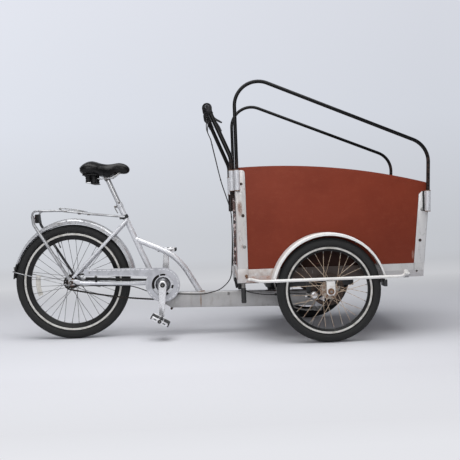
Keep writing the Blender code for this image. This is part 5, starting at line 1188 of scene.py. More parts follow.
def build_cranks():
    parts = crank_parts(-1)
    low = -0.0462
    high = -0.0438
    parts.append((toothed(BB, 38, RING_R - 0.003, RING_R, low, high), "chainwheel_steel"))
    ring = lathe([(0.0405, low - 0.0026), (0.048, low - 0.0026), (0.0488, low - 0.0016),
            (0.0488, low - 0.0002), (0.0405, low - 0.0002)], BB, "Y", 60)
    parts.append((ring, "forged_aluminium"))
    out = -0.0612
    shell = [(0.0395, out + 0.0008), (0.048, out), (0.057, out), (0.0577, out + 0.0008),
        (0.0577, low + 0.0002), (0.056, low + 0.0002), (0.056, out + 0.0022), (0.0395, out + 0.003)]
    parts.append((lathe(shell, BB, "Y", 72), ENAMEL))
    # Painted shade: dark sheets on the shell stand for the shade seen through its slots.
    slots = []
    for start, end, inner, outer in ((75, 105, 0.0472, 0.0562), (112, 202, 0.0445, 0.057),
            (240, 300, 0.0455, 0.0565), (-24, -4, 0.0445, 0.055)):
        slots.append(arc_sheet([(inner, out - 0.0003), (outer, out - 0.0003), (outer, out + 0.0006),
                (inner, out + 0.0006)], (BB.x, BB.z), start, end, 16))
    parts.append((merged(slots), RECESS_GRIME_AND_SHADE))
    dome = lathe([(0, -0.0785), (0.019, -0.0785), (0.02, -0.076), (0.021, -0.062), (0.028, -0.058),
            (0.036, -0.054), (0.0385, -0.05), (0.0385, low), (0, low)], BB, "Y", 60)
    parts += [(softened(dome, 0.0008, 2, 30), "hub_grey_cast"), (rod(0.0085, (BB.x, low + 0.001, BB.z),
            (BB.x, 0.0777, BB.z), 24), ZINC)]
    piece("crank_right_forged", "crank", parts, "crank_right")
    piece("crank_left_forged", "crank", crank_parts(1), "crank_left")


def pedal_parts(word):
    """A pedal seen from its own middle: treads, tube, end plates and axle, made for the right side."""
    centre = PEDALS[word]
    near = 0.104
    far = 0.204
    parts = [(rod(0.0105, (0, near, 0), (0, far - 0.004, 0), 24, 1.5), NYLON),
        (rod(0.006, (0, 0.0925, 0), (0, near + 0.01, 0), 16), ZINC), (lathe([(0, 0.199), (0.0048, 0.199),
            (0.0048, 0.2026), (0.0035, 0.2036), (0, 0.2036)], (0, 0, 0), "Y", 24), ZINC),
        (hex_nut((0, 0.0925, 0), (0, 1, 0), 0.0085, 0.005), ZINC)]
    for y in (near + 0.0015, far - 0.002):
        plate = [(-0.0415, -0.0102), (0.0415, -0.0102), (0.044, 0.0), (0.0415, 0.0102), (-0.0415, 0.0102),
            (-0.044, 0.0)]
        parts += [(prism(plate, "Y", y - 0.001, y + 0.001, 0.5), "pedal_plate"),
            (rod(0.0098, (0, y - 0.0014, 0), (0, y + 0.0014, 0), 24, 0.4), NYLON)]
        # Painted shade: a dark block in each opening of the end plate stands for the shade inside it.
        for middle in (-0.0245, 0.0245):
            parts.append((box((middle - 0.0075, y - 0.0013, -0.0026), (middle + 0.0075, y + 0.0013, 0.0026),
                    0.8), RECESS_GRIME_AND_SHADE))
    for end in (-1, 1):
        for low, high in ((-0.0495, -0.04), (-0.0375, -0.028), (-0.0255, -0.016)):
            a, b = (low, high) if end < 0 else (-high, -low)
            parts.append((box((a, near + 0.004, -0.0082), (b, far - 0.005, 0.0082), 1.6), "tread_rubber"))
        a, b = (-0.048, -0.017) if end < 0 else (0.017, 0.048)
        parts.append((box((a, near + 0.0028, -0.0075), (b, far - 0.0036, 0.0075), 1.0), NYLON))
    right = word == "right"
    for part, _ in parts:
        if right:
            mirrored(part)
        moved(turned(part, 29 if right else 0, (0, 0, 0)), (centre.x, 0, centre.z))
    return parts


def build_pedals():
    for word in SIDES:
        piece("pedal_block_" + word, "pedal_" + word, pedal_parts(word), "pedal_" + word, 30)


# ---- Saddle ----

SADDLE_STATIONS = [(0.063, 0.875, 0.887, 0.046), (0.07, 0.864, 0.901, 0.072), (0.086, 0.857, 0.915, 0.09),
    (0.116, 0.854, 0.925, 0.096), (0.148, 0.847, 0.919, 0.088), (0.174, 0.837, 0.91, 0.074),
    (0.204, 0.829, 0.9055, 0.054), (0.23, 0.8385, 0.9075, 0.04), (0.256, 0.86, 0.912, 0.03),
    (0.286, 0.8585, 0.911, 0.027), (0.307, 0.861, 0.902, 0.02), (0.319, 0.872, 0.889, 0.01)]


def saddle_form():
    """A closed pad: wide and crowned behind, drawn in to a nose, with a shallow channel along it."""
    lines = [smooth_line([(s[0], s[k], 0) for s in SADDLE_STATIONS], 4) for k in (1, 2, 3)]
    rows = []
    for low, high, half in zip(*lines):
        x = low.x
        low, high, half = low.y, high.y, half.y
        middle = low + (high - low) * 0.42
        ring = []
        for i in range(28):
            angle = tau * i / 28
            c = cos(angle)
            s = sin(angle)
            y = half * math.copysign(abs(c) ** 0.8, c)
            under = low + max(0.0, 0.853 - low) * (1 - min(1.0, abs(c) / 0.8) ** 2)
            reach = (high - middle) if s > 0 else (middle - under)
            z = middle + reach * math.copysign(abs(s) ** 0.85, s)
            if s > 0 and 0.08 < x < 0.26:
                z -= 0.0035 * math.exp(-(y / 0.012) ** 2) * s
            ring.append((x, y, z))
        rows.append(ring)
    return skin(rows)


def build_saddle():
    pad = puffed(saddle_form(), 0.004)
    seams = []
    for lift, radius in ((0.2, 0.0011), (0.3, 0.0007)):
        for side in (-1, 1):
            line = [(x, side * (half * (0.985 - lift * 0.1) + 0.0018), low + (high - low) * (0.42 + lift))
                for x, low, high, half in SADDLE_STATIONS[1:-1]]
            seams.append(swept(smooth_line(line, 6), radius, 6))
    for vert in (vert for seam in seams for vert in seam.verts):
        vert.co.y *= 0.985
    base = prism([(0.08, -0.056), (0.11, -0.07), (0.15, -0.064), (0.195, -0.038), (0.23, -0.022),
            (0.23, 0.022), (0.195, 0.038), (0.15, 0.064), (0.11, 0.07), (0.08, 0.056)], "Z", 0.8505, 0.859,
        2.0)
    cover = piece("saddle_pad", "frame", [(pad, "vinyl_cover"), (merged(seams), "vinyl_cover"),
            (base, NYLON)], "saddle", 50)
    way = SEAT_WAY
    top = seat_tube_at(0.826)
    parts = [(sleeve(0.0165, 0.014, top + way * 0.0005, top + way * 0.018, 28, 1.2), ZINC)]
    clamp = top + way * 0.01
    parts.append((rod(0.009, clamp + at(-0.006, -0.026, 0.002), clamp + at(-0.006, 0.026, 0.002), 20, 1),
            ZINC))
    for side in (-1, 1):
        nut = hex_nut(clamp + at(-0.006, side * 0.0255, 0.002), (0, side, 0), 0.0075, 0.005)
        parts.append((nut, ZINC))
        y = side * 0.022
        rail = bent([(0.264, side * 0.008, 0.8595), (0.226, y, 0.836), (0.105, y, 0.834),
                (0.09, side * 0.034, 0.8485)], 0.012, 6)
        parts.append((swept(rail, 0.0035, 14), CHROME))
        for x, low, high in ((0.107, 0.816, 0.856), (0.136, 0.81, 0.85)):
            ribs = [(0, low)] + [(0.0125 + 0.0022 * (i % 2), low + (high - low) * i / 6) for i in range(7)]
            parts.append((softened(lathe(ribs + [(0, high)], (x, side * 0.04, 0), "Z", 24), 0.0008, 2, 20),
                    NYLON))
    parts += [(box((0.094, -0.054, 0.8115), (0.122, 0.054, 0.8165), 1.5), CHROME),
        (box((0.121, -0.054, 0.8055), (0.152, 0.054, 0.8105), 1.5), NYLON),
        (box((0.254, -0.014, 0.8575), (0.272, 0.014, 0.863), 1.2), ZINC)]
    piece("saddle_springs", "frame", parts, "saddle_frame")
    bottom = seat_tube_at(0.7) - way * 0.09
    reach = (0.826 - bottom.z) / way.z
    post = swept([bottom, bottom + way * (reach - 0.03), bottom + way * (reach - 0.002)], 0.0134, 32)
    piece("seat_post_tube", "frame", [(post, "seat_post_alloy")], "seat_post")
    low = seat_tube_at(0.7) - way * 0.02
    high = seat_tube_at(0.7) + way * 0.004
    ring = sleeve(0.0176, 0.0151, low, high, 32, 1.0)
    ear_place = low.lerp(high, 0.5) + at(way.z, 0, -way.x) * -0.0205
    ear = rod(0.0048, ear_place + at(0, -0.013, 0), ear_place + at(0, 0.013, 0), 20, 1.0)
    bolt = bolt_head(ear_place + at(0, -0.013, 0), (0, -1, 0), 0.0042, 0.0028, False)
    lever = swept(smooth_line([ear_place + at(0, -0.014, 0), ear_place + at(-0.007, -0.0155, 0.002), ear_place
            + at(0.001, -0.0155, -0.018), ear_place + at(0.01, -0.0155, -0.034)], 5), 0.0026, 10)
    cap = bolt_head(high + at(0.004, -0.017, 0.001), (0, -1, 0), 0.0042, 0.0028, False)
    piece("seat_post_clamp", "frame", [(ring, ENAMEL), (ear, ZINC), (bolt, DARK), (cap, DARK), (lever, ZINC)],
        "seat_clamp")


# ---- Load box ----

def board(node):
    """A panel of the box with its sawn edges sealed in a darker colour."""
    faces, edges = parted(cad(node, 1.0, 2, 30), lambda f: abs(f.normal.z) > 0.5)
    return [(faces, "film_faced_plywood"), (edges, "plywood_edge")]


def build_panels():
    for word in SIDES:
        parts = board("panel_" + word)
        side = -1 if word == "right" else 1
        if word == "right":
            # Painted shade: dark slivers stand for the shade inside a crack in the right panel.
            crack = [box((x - 0.0008, -0.29665, low), (x + 0.0008, -0.296, high), 0.1) for low, high,
                x in ((0.752, 0.79, 1.2172), (0.788, 0.822, 1.218), (0.82, 0.8385, 1.2176))]
            parts.append((leaned(merged(crack)), RECESS_GRIME_AND_SHADE))
        inner = []
        for z in (0.42, 0.6, 0.76):
            for x in (BOX_REAR + 0.03, BOX_FRONT + LEAN * (z - BOX_LOW) - 0.034):
                if z > 0.7 and x > 1.7:
                    continue
                inner.append(bolt_head((x, side * (box_half(z) - 0.0158), z), (0, -side, 0), 0.005, 0.0028))
        parts.append((merged(inner), ZINC))
        piece("board_" + word, "front_unit", parts, "panel_" + word)
    for word, node in (("rear", "panel_rear"), ("front", "panel_front"), ("floor", "box_floor")):
        piece("board_" + word, "front_unit", board(node), node)


def corner_angle(forward):
    """An aluminium angle over one right-hand corner: two leaves with their top outer corners cut."""
    t = 0.003
    low = BOX_LOW + 0.065 + 0.0003
    top = 0.7 if forward else 0.832
    x0, way, cut = (BOX_FRONT, -1, 0.014) if forward else (BOX_REAR, 1, 0.016)
    rounding = [(cut * (1 - sin(radians(a))), cut * (1 - cos(radians(a))))
        for a in ((90, 0) if forward else (90, 67, 45, 22, 0))]
    leaf = [(x0, low), (x0 + way * 0.05, low)]
    leaf += [(x0 + way * (0.05 - across), top - drop) for across, drop in rounding]
    leaf.append((x0, top))
    side = prism(leaf, "Y", -BOX_HALF, -BOX_HALF + t, 0.7)
    end = [(-BOX_HALF, low), (-BOX_HALF + 0.05, low)]
    end += [(-BOX_HALF + 0.05 - across, top - drop) for across, drop in rounding]
    end.append((-BOX_HALF, top))
    back = prism(end, "X", min(x0, x0 + way * t), max(x0, x0 + way * t), 0.7)
    leaves = [side, back]
    if not forward:
        y0 = -BOX_HALF - 0.0019
        foot = [(0.0, 0.2895), (0.034, 0.2895), (0.05, 0.3055), (0.05, 0.356), (0.0, 0.356)]
        leaves += [prism([(x0 - 0.0019 + a, z) for a, z in foot], "Y", y0, y0 + 0.002, 0.4),
            prism([(y0 + a, z) for a, z in foot], "X", x0 - 0.0019, x0 + 0.0001, 0.4)]
    return leaned(merged(leaves), forward)


def rear_corner_parts():
    low = 0.734
    high = 0.834
    web = leaned(box((BOX_REAR + 0.006, -BOX_HALF - 0.011, low + 0.004),
            (BOX_REAR + 0.018, -BOX_HALF + 0.002, high - 0.004), 1.2))
    parts = [(corner_angle(False), ALLOY), (sleeve(0.0138, 0.0113, (BAR_X, -BAR_Y, low),
            (BAR_X, -BAR_Y, high), 32, 1.0), ENAMEL), (sleeve(0.0125, 0.0098, (HOOP_X, -HOOP_Y, low),
            (HOOP_X, -HOOP_Y, high), 32, 1.0), ENAMEL), (web, ALLOY)]
    for a, b in ((0.733, 0.7365), (0.8315, 0.8348)):
        parts += [(sleeve(0.0142, 0.0113, (BAR_X, -BAR_Y, a), (BAR_X, -BAR_Y, b), 32, 0.6), RUST),
            (sleeve(0.0129, 0.0098, (HOOP_X, -HOOP_Y, a), (HOOP_X, -HOOP_Y, b), 32, 0.6), RUST)]
    for x, z, radius, name in ((0.889, 0.766, 0.005, DARK), (0.892, 0.614, 0.0058, DARK),
            (0.894, 0.463, 0.006, ZINC), (0.899, 0.318, 0.006, RUST)):
        parts.append((bolt_head((x, -box_half(z) - 0.0008, z), (0, -1, 0.036), radius), name))
    return parts


def front_corner_parts():
    a = at(BOX_FRONT + 0.0215, -HOOP_Y, 0.602)
    b = at(BOX_FRONT + 0.0253, -HOOP_Y, 0.702)
    web = leaned(box((a.x - 0.005, -BOX_HALF - 0.014, 0.606), (a.x + 0.007, -BOX_HALF + 0.002, 0.694), 1.2))
    parts = [(corner_angle(True), ALLOY), (sleeve(0.0125, 0.0098, a, b, 32, 1.0), ENAMEL), (web, ALLOY)]
    # Painted shade: a black strip in the gap beside the sleeve stands for the shade in that gap.
    gap_shade_strip = leaned(box((a.x - 0.019, -BOX_HALF - 0.004, 0.605), (a.x - 0.0112, -BOX_HALF - 0.0005, 0.7), 0.4))
    parts.append((gap_shade_strip, BLACK))
    way = (b - a).normalized()
    for low, high in ((a - way * 0.001, a + way * 0.0025), (b - way * 0.0025, b + way * 0.001)):
        parts.append((sleeve(0.013, 0.0098, low, high, 32, 0.6), RUST))
    for x, z, radius, name in ((1.756, 0.613, 0.006, ZINC), (1.743, 0.464, 0.0055, DARK),
            (1.724, 0.316, 0.0035, DARK)):
        parts.append((bolt_head((x, -box_half(z) - 0.0008, z), (0, -1, 0.036), radius), name))
    return parts


def build_box_edges():
    both_sides("corner_angle_rear", rear_corner_parts, "corner_rear")
    both_sides("corner_angle_front", front_corner_parts, "corner_front")
    rail, step = cad("bottom_rail", 0.8), []
    for side in (-1, 1):
        strip = leaned(box((BOX_REAR + 0.002, -BOX_HALF - 0.0013, 0.2895),
                (BOX_FRONT + 0.001, -BOX_HALF + 0.001, 0.321), 0.5))
        step.append(strip if side < 0 else mirrored(strip))
    step.append(leaned(box((BOX_REAR - 0.0013, -BOX_HALF + 0.001, 0.2895),
            (BOX_REAR + 0.001, BOX_HALF - 0.001, 0.321), 0.5)))
    seams = []
    for side in (-1, 1):
        for x in (BOX_REAR + 0.0495, BOX_FRONT + 0.0048 - 0.0495):
            seam = leaned(box((x - 0.0005, -BOX_HALF - 0.0004, 0.3215),
                    (x + 0.0005, -BOX_HALF + 0.001, 0.3535), 0.1))
            seams.append(seam if side < 0 else mirrored(seam))
    piece("rail_strips", "front_unit", [(rail, ALLOY), (merged(step), "aluminium_stained"),
            (merged(seams), RECESS_GRIME_AND_SHADE)], "bottom_rail")


def build_hoops():
    for word, y, lift in (("right", -HOOP_Y, 0.005), ("left", HOOP_Y, -0.009)):
        foot = at(BOX_FRONT + 0.0215, y, 0.602)
        top = at(BOX_FRONT + 0.0335, y, 0.9163)
        end = foot + (top - foot).normalized() * 0.0045
        corners = [(HOOP_X, y, 0.7385), (HOOP_X, y, 1.3013 + lift), top, end]
        piece("cover_hoop_" + word, "front_unit", [(swept(bent(corners, 0.114, 20), 0.0086, 28),
                "black_coat_weathered")], "hoop_" + word)


def bar_path():
    back = (GRIP_Z - 0.893) * tan(radians(22.4))
    right = [(BAR_X, -BAR_Y, 0.64), (BAR_X, -BAR_Y, 0.893), (BAR_X - back, -BAR_Y + 0.036, GRIP_Z)]
    left = [(x, -y, z) for x, y, z in reversed(right)]
    return bent(right + left, [0.1, 0.055, 0.055, 0.1], 10), BAR_X - back


def build_handlebar():
    path, x = bar_path()
    bar = swept(path, 0.011, 28)
    parts = [(bar, "black_coat_weathered")]
    for side in (-1, 1):
        wrap = [p for p in path if p.y * side > 0.2 and 1.02 < p.z < 1.146]
        line = smooth_line(wrap, 3)
        radii = [0.0132 + 0.0007 * sin(i * 1.9) for i in range(len(line))]
        parts.append((swept(line, radii, 20, dome=0.0015), "cell_foam"))
    piece("push_bar", "front_unit", parts, "handlebar")
    for side, word in ((-1, "right"), (1, "left")):
        start = side * 0.194
        end = side * 0.069
        line = [(x, start + (end - start) * i / 26, GRIP_Z) for i in range(27)]
        radii = [0.024 + 0.0008 * sin(i * 2.1) for i in range(27)]
        foam = swept(line, radii, 24, dome=0.003)
        piece("foam_grip_" + word, "front_unit", [(foam, "cell_foam")], "grip_" + word, 60)
        y = side * 0.055
        clamp = sleeve(0.0158, 0.0112, (x, y - 0.008, GRIP_Z), (x, y + 0.008, GRIP_Z), 28, 1.2)
        perch = swept(smooth_line([(x + 0.006, y, 1.146), (x + 0.02, y, 1.134), (x + 0.034, y, 1.122)], 5),
            [0.0085 - 0.0018 * i / 10 for i in range(11)], 14, dome=0.002)
        blade = bent([(x + 0.012, y, 1.141), (x + 0.044, y, 1.115), (x + 0.058, y + side * 0.05, 1.099),
                (x + 0.07, y + side * 0.106, 1.084)], [0.014, 0.03], 6)
        radii = [0.0056] * (len(blade) - 1) + [0.004]
        lever = merged([swept(blade, radii, 14, dome=0.002), swept(ring_path((x + 0.042, y + side * 0.012,
                1.124), (0, 1, 0), 0.0082, 24), 0.0024, 8, closed=True)])
        nut = rod(0.0042, (x - 0.004, y, 1.137), (x - 0.0035, y, 1.1475), 16, 0.8)
        piece("bar_lever_" + word, "front_unit", [(clamp, NYLON), (perch, NYLON), (lever, NYLON),
                (nut, ZINC)], "brake_lever_" + word)


# ---- Under the box: carriers, side bars, front mudguards, brakes and cables ----

def build_carriers():
    bearers = []
    for side in (-1, 1):
        bearers.append(box((1.095, side * 0.268 - 0.01, 0.258), (1.42, side * 0.268 + 0.01, BOX_UNDER), 2.0))
    piece("cross_bars", "front_unit", [(cad("underframe", 1.2), BLACK), (merged(bearers), BLACK)],
        "underframe")
    pin = swept([(HEAD_X, 0, 0.108), (HEAD_X, 0, 0.2), (HEAD_X, 0, 0.2645)], 0.0161, 32)
    nut = hex_nut((HEAD_X, 0, 0.1098), (0, 0, -1), 0.022, 0.0138)
    piece("king_pin", "front_unit", [(pin, ZINC), (nut, ZINC)], "steering_pin")

    def peg():
        spot = (BOX_REAR + 0.025, -(BOX_HALF - 0.0165), 0)
        z = BOX_UNDER
        rubber = lathe([(0, 0.19), (0.0085, 0.19), (0.0112, 0.1915), (0.012, 0.194), (0.0122, 0.205),
                (0.0112, 0.207), (0.012, 0.209), (0.012, 0.262), (0.0108, 0.264), (0, 0.264)], spot, "Z", 28)
        stud = lathe([(0, 0.263), (0.0098, 0.263), (0.0102, 0.266), (0.0102, z - 0.004), (0.0085, z), (0, z)],
            spot, "Z", 24)
        return [(rubber, "tread_rubber"), (stud, ZINC)]
    both_sides("stop_buffer", peg, "stop_peg")

    def carrier():
        x, z = FRONT_HUB.x, FRONT_HUB.z
        top = BOX_UNDER
        bracket = prism([(x - 0.1, top), (x - 0.095, z - 0.04), (x - 0.045, z - 0.05), (x + 0.01, z - 0.022),
                (x + 0.045, top)], "Y", -BOX_HALF, -BOX_HALF + 0.006, 1.2)
        plate_y = GUARD_BAR_Y
        low = GUARD_BAR_Z - 0.0105
        plate = prism([(x - 0.02, low), (x - 0.02, z - 0.008), (x - 0.012, z - 0.018), (x + 0.012, z - 0.018),
                (x + 0.02, z - 0.008), (x + 0.02, low)], "Y", plate_y - 0.0025, plate_y + 0.0025, 1.0)
        shaft = rod(0.006, (x, -BOX_HALF + 0.005, z), (x, plate_y - 0.014, z), 24, 0.8)
        collar = rod(0.011, (x, -BOX_HALF + 0.001, z), (x, FRONT_HUB.y + 0.0467, z), 28, 0.8)
        nut = hex_nut((x, plate_y - 0.0036, z), (0, -1, 0), 0.0125, 0.0078)
        washer = sleeve(0.0152, 0.0061, (x, plate_y - 0.0026, z), (x, plate_y - 0.004, z), 32, 0.4)
        inner = hex_nut((x, -BOX_HALF + 0.0062, z), (0, 1, 0), 0.011, 0.006)
        bead = swept([(x - 0.021, plate_y, low - 0.001), (x, plate_y - 0.0006, low - 0.001),
                (x + 0.021, plate_y, low - 0.001)], 0.0024, 8)
        parts = [(bracket, BLACK), (plate, WHITE), (shaft, ZINC), (collar, ZINC), (nut, RUST), (washer, RUST),
            (inner, ZINC), (bead, WHITE)]
        for dx in (-0.078, 0.022):
            parts.append((bolt_head((x + dx, -BOX_HALF - 0.0006, top - 0.01), (0, -1, 0), 0.0045), ZINC))
        return parts
    both_sides("wheel_carrier", carrier, "axle")

    def bar():
        wall = -(box_half(GUARD_BAR_Z) + 0.01 + 0.0003)
        corners = [(HEAD_X + dx, y, GUARD_BAR_Z) for dx, y in ((-0.38, wall), (-0.362, wall),
                (-0.326, GUARD_BAR_Y), (0.34, GUARD_BAR_Y), (0.376, wall), (0.404, wall))]
        tube = swept(bent(corners, [0.014, 0.04, 0.04, 0.03], 8), 0.0072, 28, dome=0.005)
        ear = rod(0.0105, (HEAD_X + 0.386, wall + 0.0095, 0.315), (HEAD_X + 0.386, wall - 0.006, 0.315), 24,
            2.5)
        bolt = bolt_head((HEAD_X - 0.386, wall + 0.0085, 0.3245), (0, -1, 0), 0.0058, 0.0034)
        return [(tube, WHITE), (ear, WHITE), (bolt, RUST)]
    both_sides("guard_bar", bar, "side_bar")


def build_front_fenders():
    def guard():
        out = -0.395
        inn = -0.33
        t = 0.0016
        r = 0.273
        rounded = [(r - 0.0065 + 0.0065 * sin(radians(a)), out + 0.0065 - 0.0065 * cos(radians(a)))
            for a in (0, 22, 45, 67, 90)]
        inside = [(p[0] - t, p[1] + t) for p in reversed(rounded)]
        face = 0.259
        profile = [(face, out)] + rounded + [(r + 0.0003, (out + inn) / 2), (r, inn),
            (r - t, inn)] + inside + [(face, out + t)]
        sheet = arc_sheet(profile, (HEAD_X, FRONT_HUB.z), 9.0, 168.0, 110)
        lip = [at(HEAD_X + face * cos(radians(a)), out + 0.0009, FRONT_HUB.z + face * sin(radians(a)))
            for a in range(10, 169, 2)]
        bead = swept(lip, 0.001, 8)
        for vert in [*sheet.verts, *bead.verts]:
            if abs(vert.co.y - inn) < 1e-6:
                vert.co.y = -(box_half(vert.co.z) + 0.0003)
            arm = at(vert.co.x - HEAD_X, 0, vert.co.z - FRONT_HUB.z)
            ahead = max(0.0, 75 - math.degrees(atan2(arm.z, arm.x))) / 66
            if arm.length < 0.2605:
                vert.co += arm.normalized() * 0.006 * ahead
        clip = box((HEAD_X + 0.257, -0.3946, FRONT_HUB.z + 0.01), (HEAD_X + 0.2722, -0.332, FRONT_HUB.z
                + 0.042), 1.5)
        rivets = []
        for degrees in (24, 56, 90, 124, 152):
            angle = radians(degrees)
            z = FRONT_HUB.z + 0.264 * sin(angle)
            rivets.append(bolt_head((HEAD_X + 0.264 * cos(angle), -(box_half(z) + 0.0012), z), (0, -1, 0),
                    0.0035, 0.002))
        return [(sheet, WHITE), (bead, WHITE), (clip, BLACK), (merged(rivets), ZINC)]
    both_sides("front_mudguard", guard, "fender")

    def brake():
        body = cad("caliper_right", 1.0, 2, 40)
        x, z = HEAD_X - 0.066, FRONT_HUB.z - 0.0255
        arm = swept([(x - 0.006, -0.3125, z + 0.006), (x - 0.022, -0.3125, z + 0.001),
                (x - 0.036, -0.3125, z - 0.006)], [0.0046, 0.0038, 0.0034], 12, dome=0.001)
        tip = bolt_head((x - 0.036, -0.3158, z - 0.006), (0, -1, 0), 0.004, 0.0026)
        cap = lathe([(0, -0.3415), (0.0125, -0.3415), (0.015, -0.3405), (0.015, -0.338), (0, -0.338)],
            (x, 0, z), "Y", 28)
        return [(body, ZINC), (arm, ZINC), (cap, "forged_aluminium"), (tip, "forged_aluminium")]
    both_sides("disc_caliper", brake, "caliper")


BRAKE_DOWN = [Vector(point) for point in ((0.748, -0.0455, 1.1447), (0.749, -0.02, 1.143),
        (0.7475, -0.003, 1.136), (0.744, 0.004, 1.122), (0.7395, -0.004, 1.104), (0.737, -0.024, 1.088),
        (0.735, -0.09, 1.053), (0.74, -0.175, 1.024), (0.751, -0.255, 0.99), (0.757, -0.282, 0.96),
        (0.766, -0.298, 0.915), (0.792, -0.317, 0.788), (0.814, -0.322, 0.712), (0.829, -0.322, 0.66),
        (0.837, -0.318, 0.61), (0.838, -0.306, 0.5), (0.836, -0.294, 0.4), (0.838, -0.284, 0.34),
        (0.844, -0.274, 0.297), (0.859, -0.266, 0.272), (0.885, -0.262, 0.252), (0.93, -0.262, 0.235),
        (1.004, -0.262, 0.224), (1.07, -0.264, 0.224), (1.12, -0.29, 0.229), (1.16, -0.3075, 0.227),
        (1.198, -0.309, 0.225))]
BRAKE_ACROSS = [(1.05, -0.2632, 0.2232), (1.075, -0.252, 0.226), (1.092, -0.22, 0.236), (1.1, -0.15, 0.246),
    (1.1, 0.15, 0.246), (1.098, 0.225, 0.252), (1.108, 0.265, 0.254), (1.128, 0.293, 0.247),
    (1.16, 0.3075, 0.235), (1.198, 0.309, 0.225)]
GEAR_LOOP = [(0.7377, -0.02, 1.1408), (0.733, -0.027, 1.118), (0.7295, -0.045, 1.09), (0.731, -0.085, 1.06),
    (0.739, -0.168, 1.028), (0.75, -0.247, 0.993), (0.7565, -0.274, 0.96), (0.7655, -0.29, 0.915),
    (0.792, -0.309, 0.788), (0.814, -0.314, 0.712), (0.829, -0.314, 0.66), (0.837, -0.31, 0.61),
    (0.837, -0.298, 0.5), (0.832, -0.286, 0.4), (0.829, -0.276, 0.35), (0.823, -0.258, 0.315),
    (0.809, -0.23, 0.289), (0.79, -0.192, 0.266), (0.77, -0.147, 0.247), (0.748, -0.103, 0.233),
    (0.723, -0.066, 0.223), (0.695, -0.042, 0.215), (0.66, -0.0334, 0.2115), (0.55, -0.0334, 0.2165),
    (0.45, -0.0336, 0.219), (0.41, -0.035, 0.226), (0.375, -0.036, 0.244)]


def gear_tail():
    """The gear cable's run under the right stay to the hub."""
    line = []
    for x in (0.3, 0.2, 0.105):
        share = (x - 0.1) / 0.2
        line.append((x, -(0.057 + (0.0425 - 0.057) * share), 0.294 + (0.2836 - 0.294) * share - 0.014))
    last = 0.058 + 0.005 + 0.0025 + 0.0006
    return line + [(0.078, -last + 0.005, REAR_R - 0.0195), (0.052, -last - 0.0005, REAR_R - 0.0178),
        (0.034, -last - 0.001, REAR_R - 0.014), (0.02, -last - 0.002, REAR_R - 0.007),
        (0.0102, -last - 0.002, REAR_R - 0.001)]


def build_cables():
    brake = [(swept(smooth_line(BRAKE_DOWN, 5), 0.0025, 12, dome=0.0006), "cable_housing"),
        (swept(smooth_line(BRAKE_ACROSS, 5), 0.0025, 12, dome=0.0006), "cable_housing"),
        (rod(0.0055, (1.034, -0.2629, 0.2234), (1.062, -0.2637, 0.2234), 20, 1.0), NYLON),
        (rod(0.0036, BRAKE_DOWN[-1], BRAKE_DOWN[-2].lerp(BRAKE_DOWN[-1], 0.6), 14, 0.8), ZINC),
        (rod(0.0034, BRAKE_DOWN[0], BRAKE_DOWN[0] + at(0.0004, 0.012, -0.0008), 14, 0.8), ZINC)]
    boot = [BRAKE_DOWN[17].lerp(BRAKE_DOWN[16], 0.55), BRAKE_DOWN[17], BRAKE_DOWN[18]]
    line = smooth_line(boot, 12)
    brake.append((swept(line, [0.0058 + 0.001 * (i % 3 > 0) for i in range(len(line))], 16, dome=0.001),
            "boot_pvc"))
    loom = [(0.85, -0.317, 0.7), (0.851, -0.315, 0.64), (0.8505, -0.312, 0.57), (0.849, -0.307, 0.5),
        (0.847, -0.301, 0.43), (0.845, -0.296, 0.38)]
    line = smooth_line(loom, 14)
    brake += [(swept(line, [0.006 + 0.0012 * (i % 2) for i in range(len(line))], 14, dome=0.001),
            "cable_loom"), (rod(0.0066, (0.844, -0.289, 0.316), (0.852, -0.286, 0.266), 18, 1.5), NYLON)]
    for index in (9, 11, 14, 16):
        spot = BRAKE_DOWN[index]
        way = (BRAKE_DOWN[index + 1] - spot).normalized()
        brake.append((sleeve(0.0036, 0.0024, spot - way * 0.0018, spot + way * 0.0018, 16, 0.4), NYLON))
    piece("brake_hose", "front_unit", brake, "brake_cable")
    line = smooth_line(GEAR_LOOP + gear_tail(), 5)
    cable = piece("gear_hose", None, [(swept(line, 0.0025, 12, dome=0.0006), "cable_housing")])
    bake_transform(cable)
    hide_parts("gear_cable")


# ---- Stage, settings and operators ----

# The paper's tone from the floor in front, back along the floor and up the wall, with painted shade: greyest
# where the paper turns up behind.
BACKDROP_TONES = [(-1.7, "#E9EAEF"), (-0.9, "#D5D6DB"), (0.4, "#D2D3D8"), (2.2, "#D2D3D7"), (4.2, "#C8CACF"),
    (6.3, "#CDD0D6"), (8.0, "#DBDFE8"), (9.7, "#E0E3EC")]


# The camera solved from the photograph: its place, its lens, and its yaw, pitch and roll in radians.
CAMERA_PLACE = (0.04336, -3.3641, 0.6226)
CAMERA_LENS_MM = 49.85
CAMERA_TURNS = (0.017, -0.0245, -0.0375)


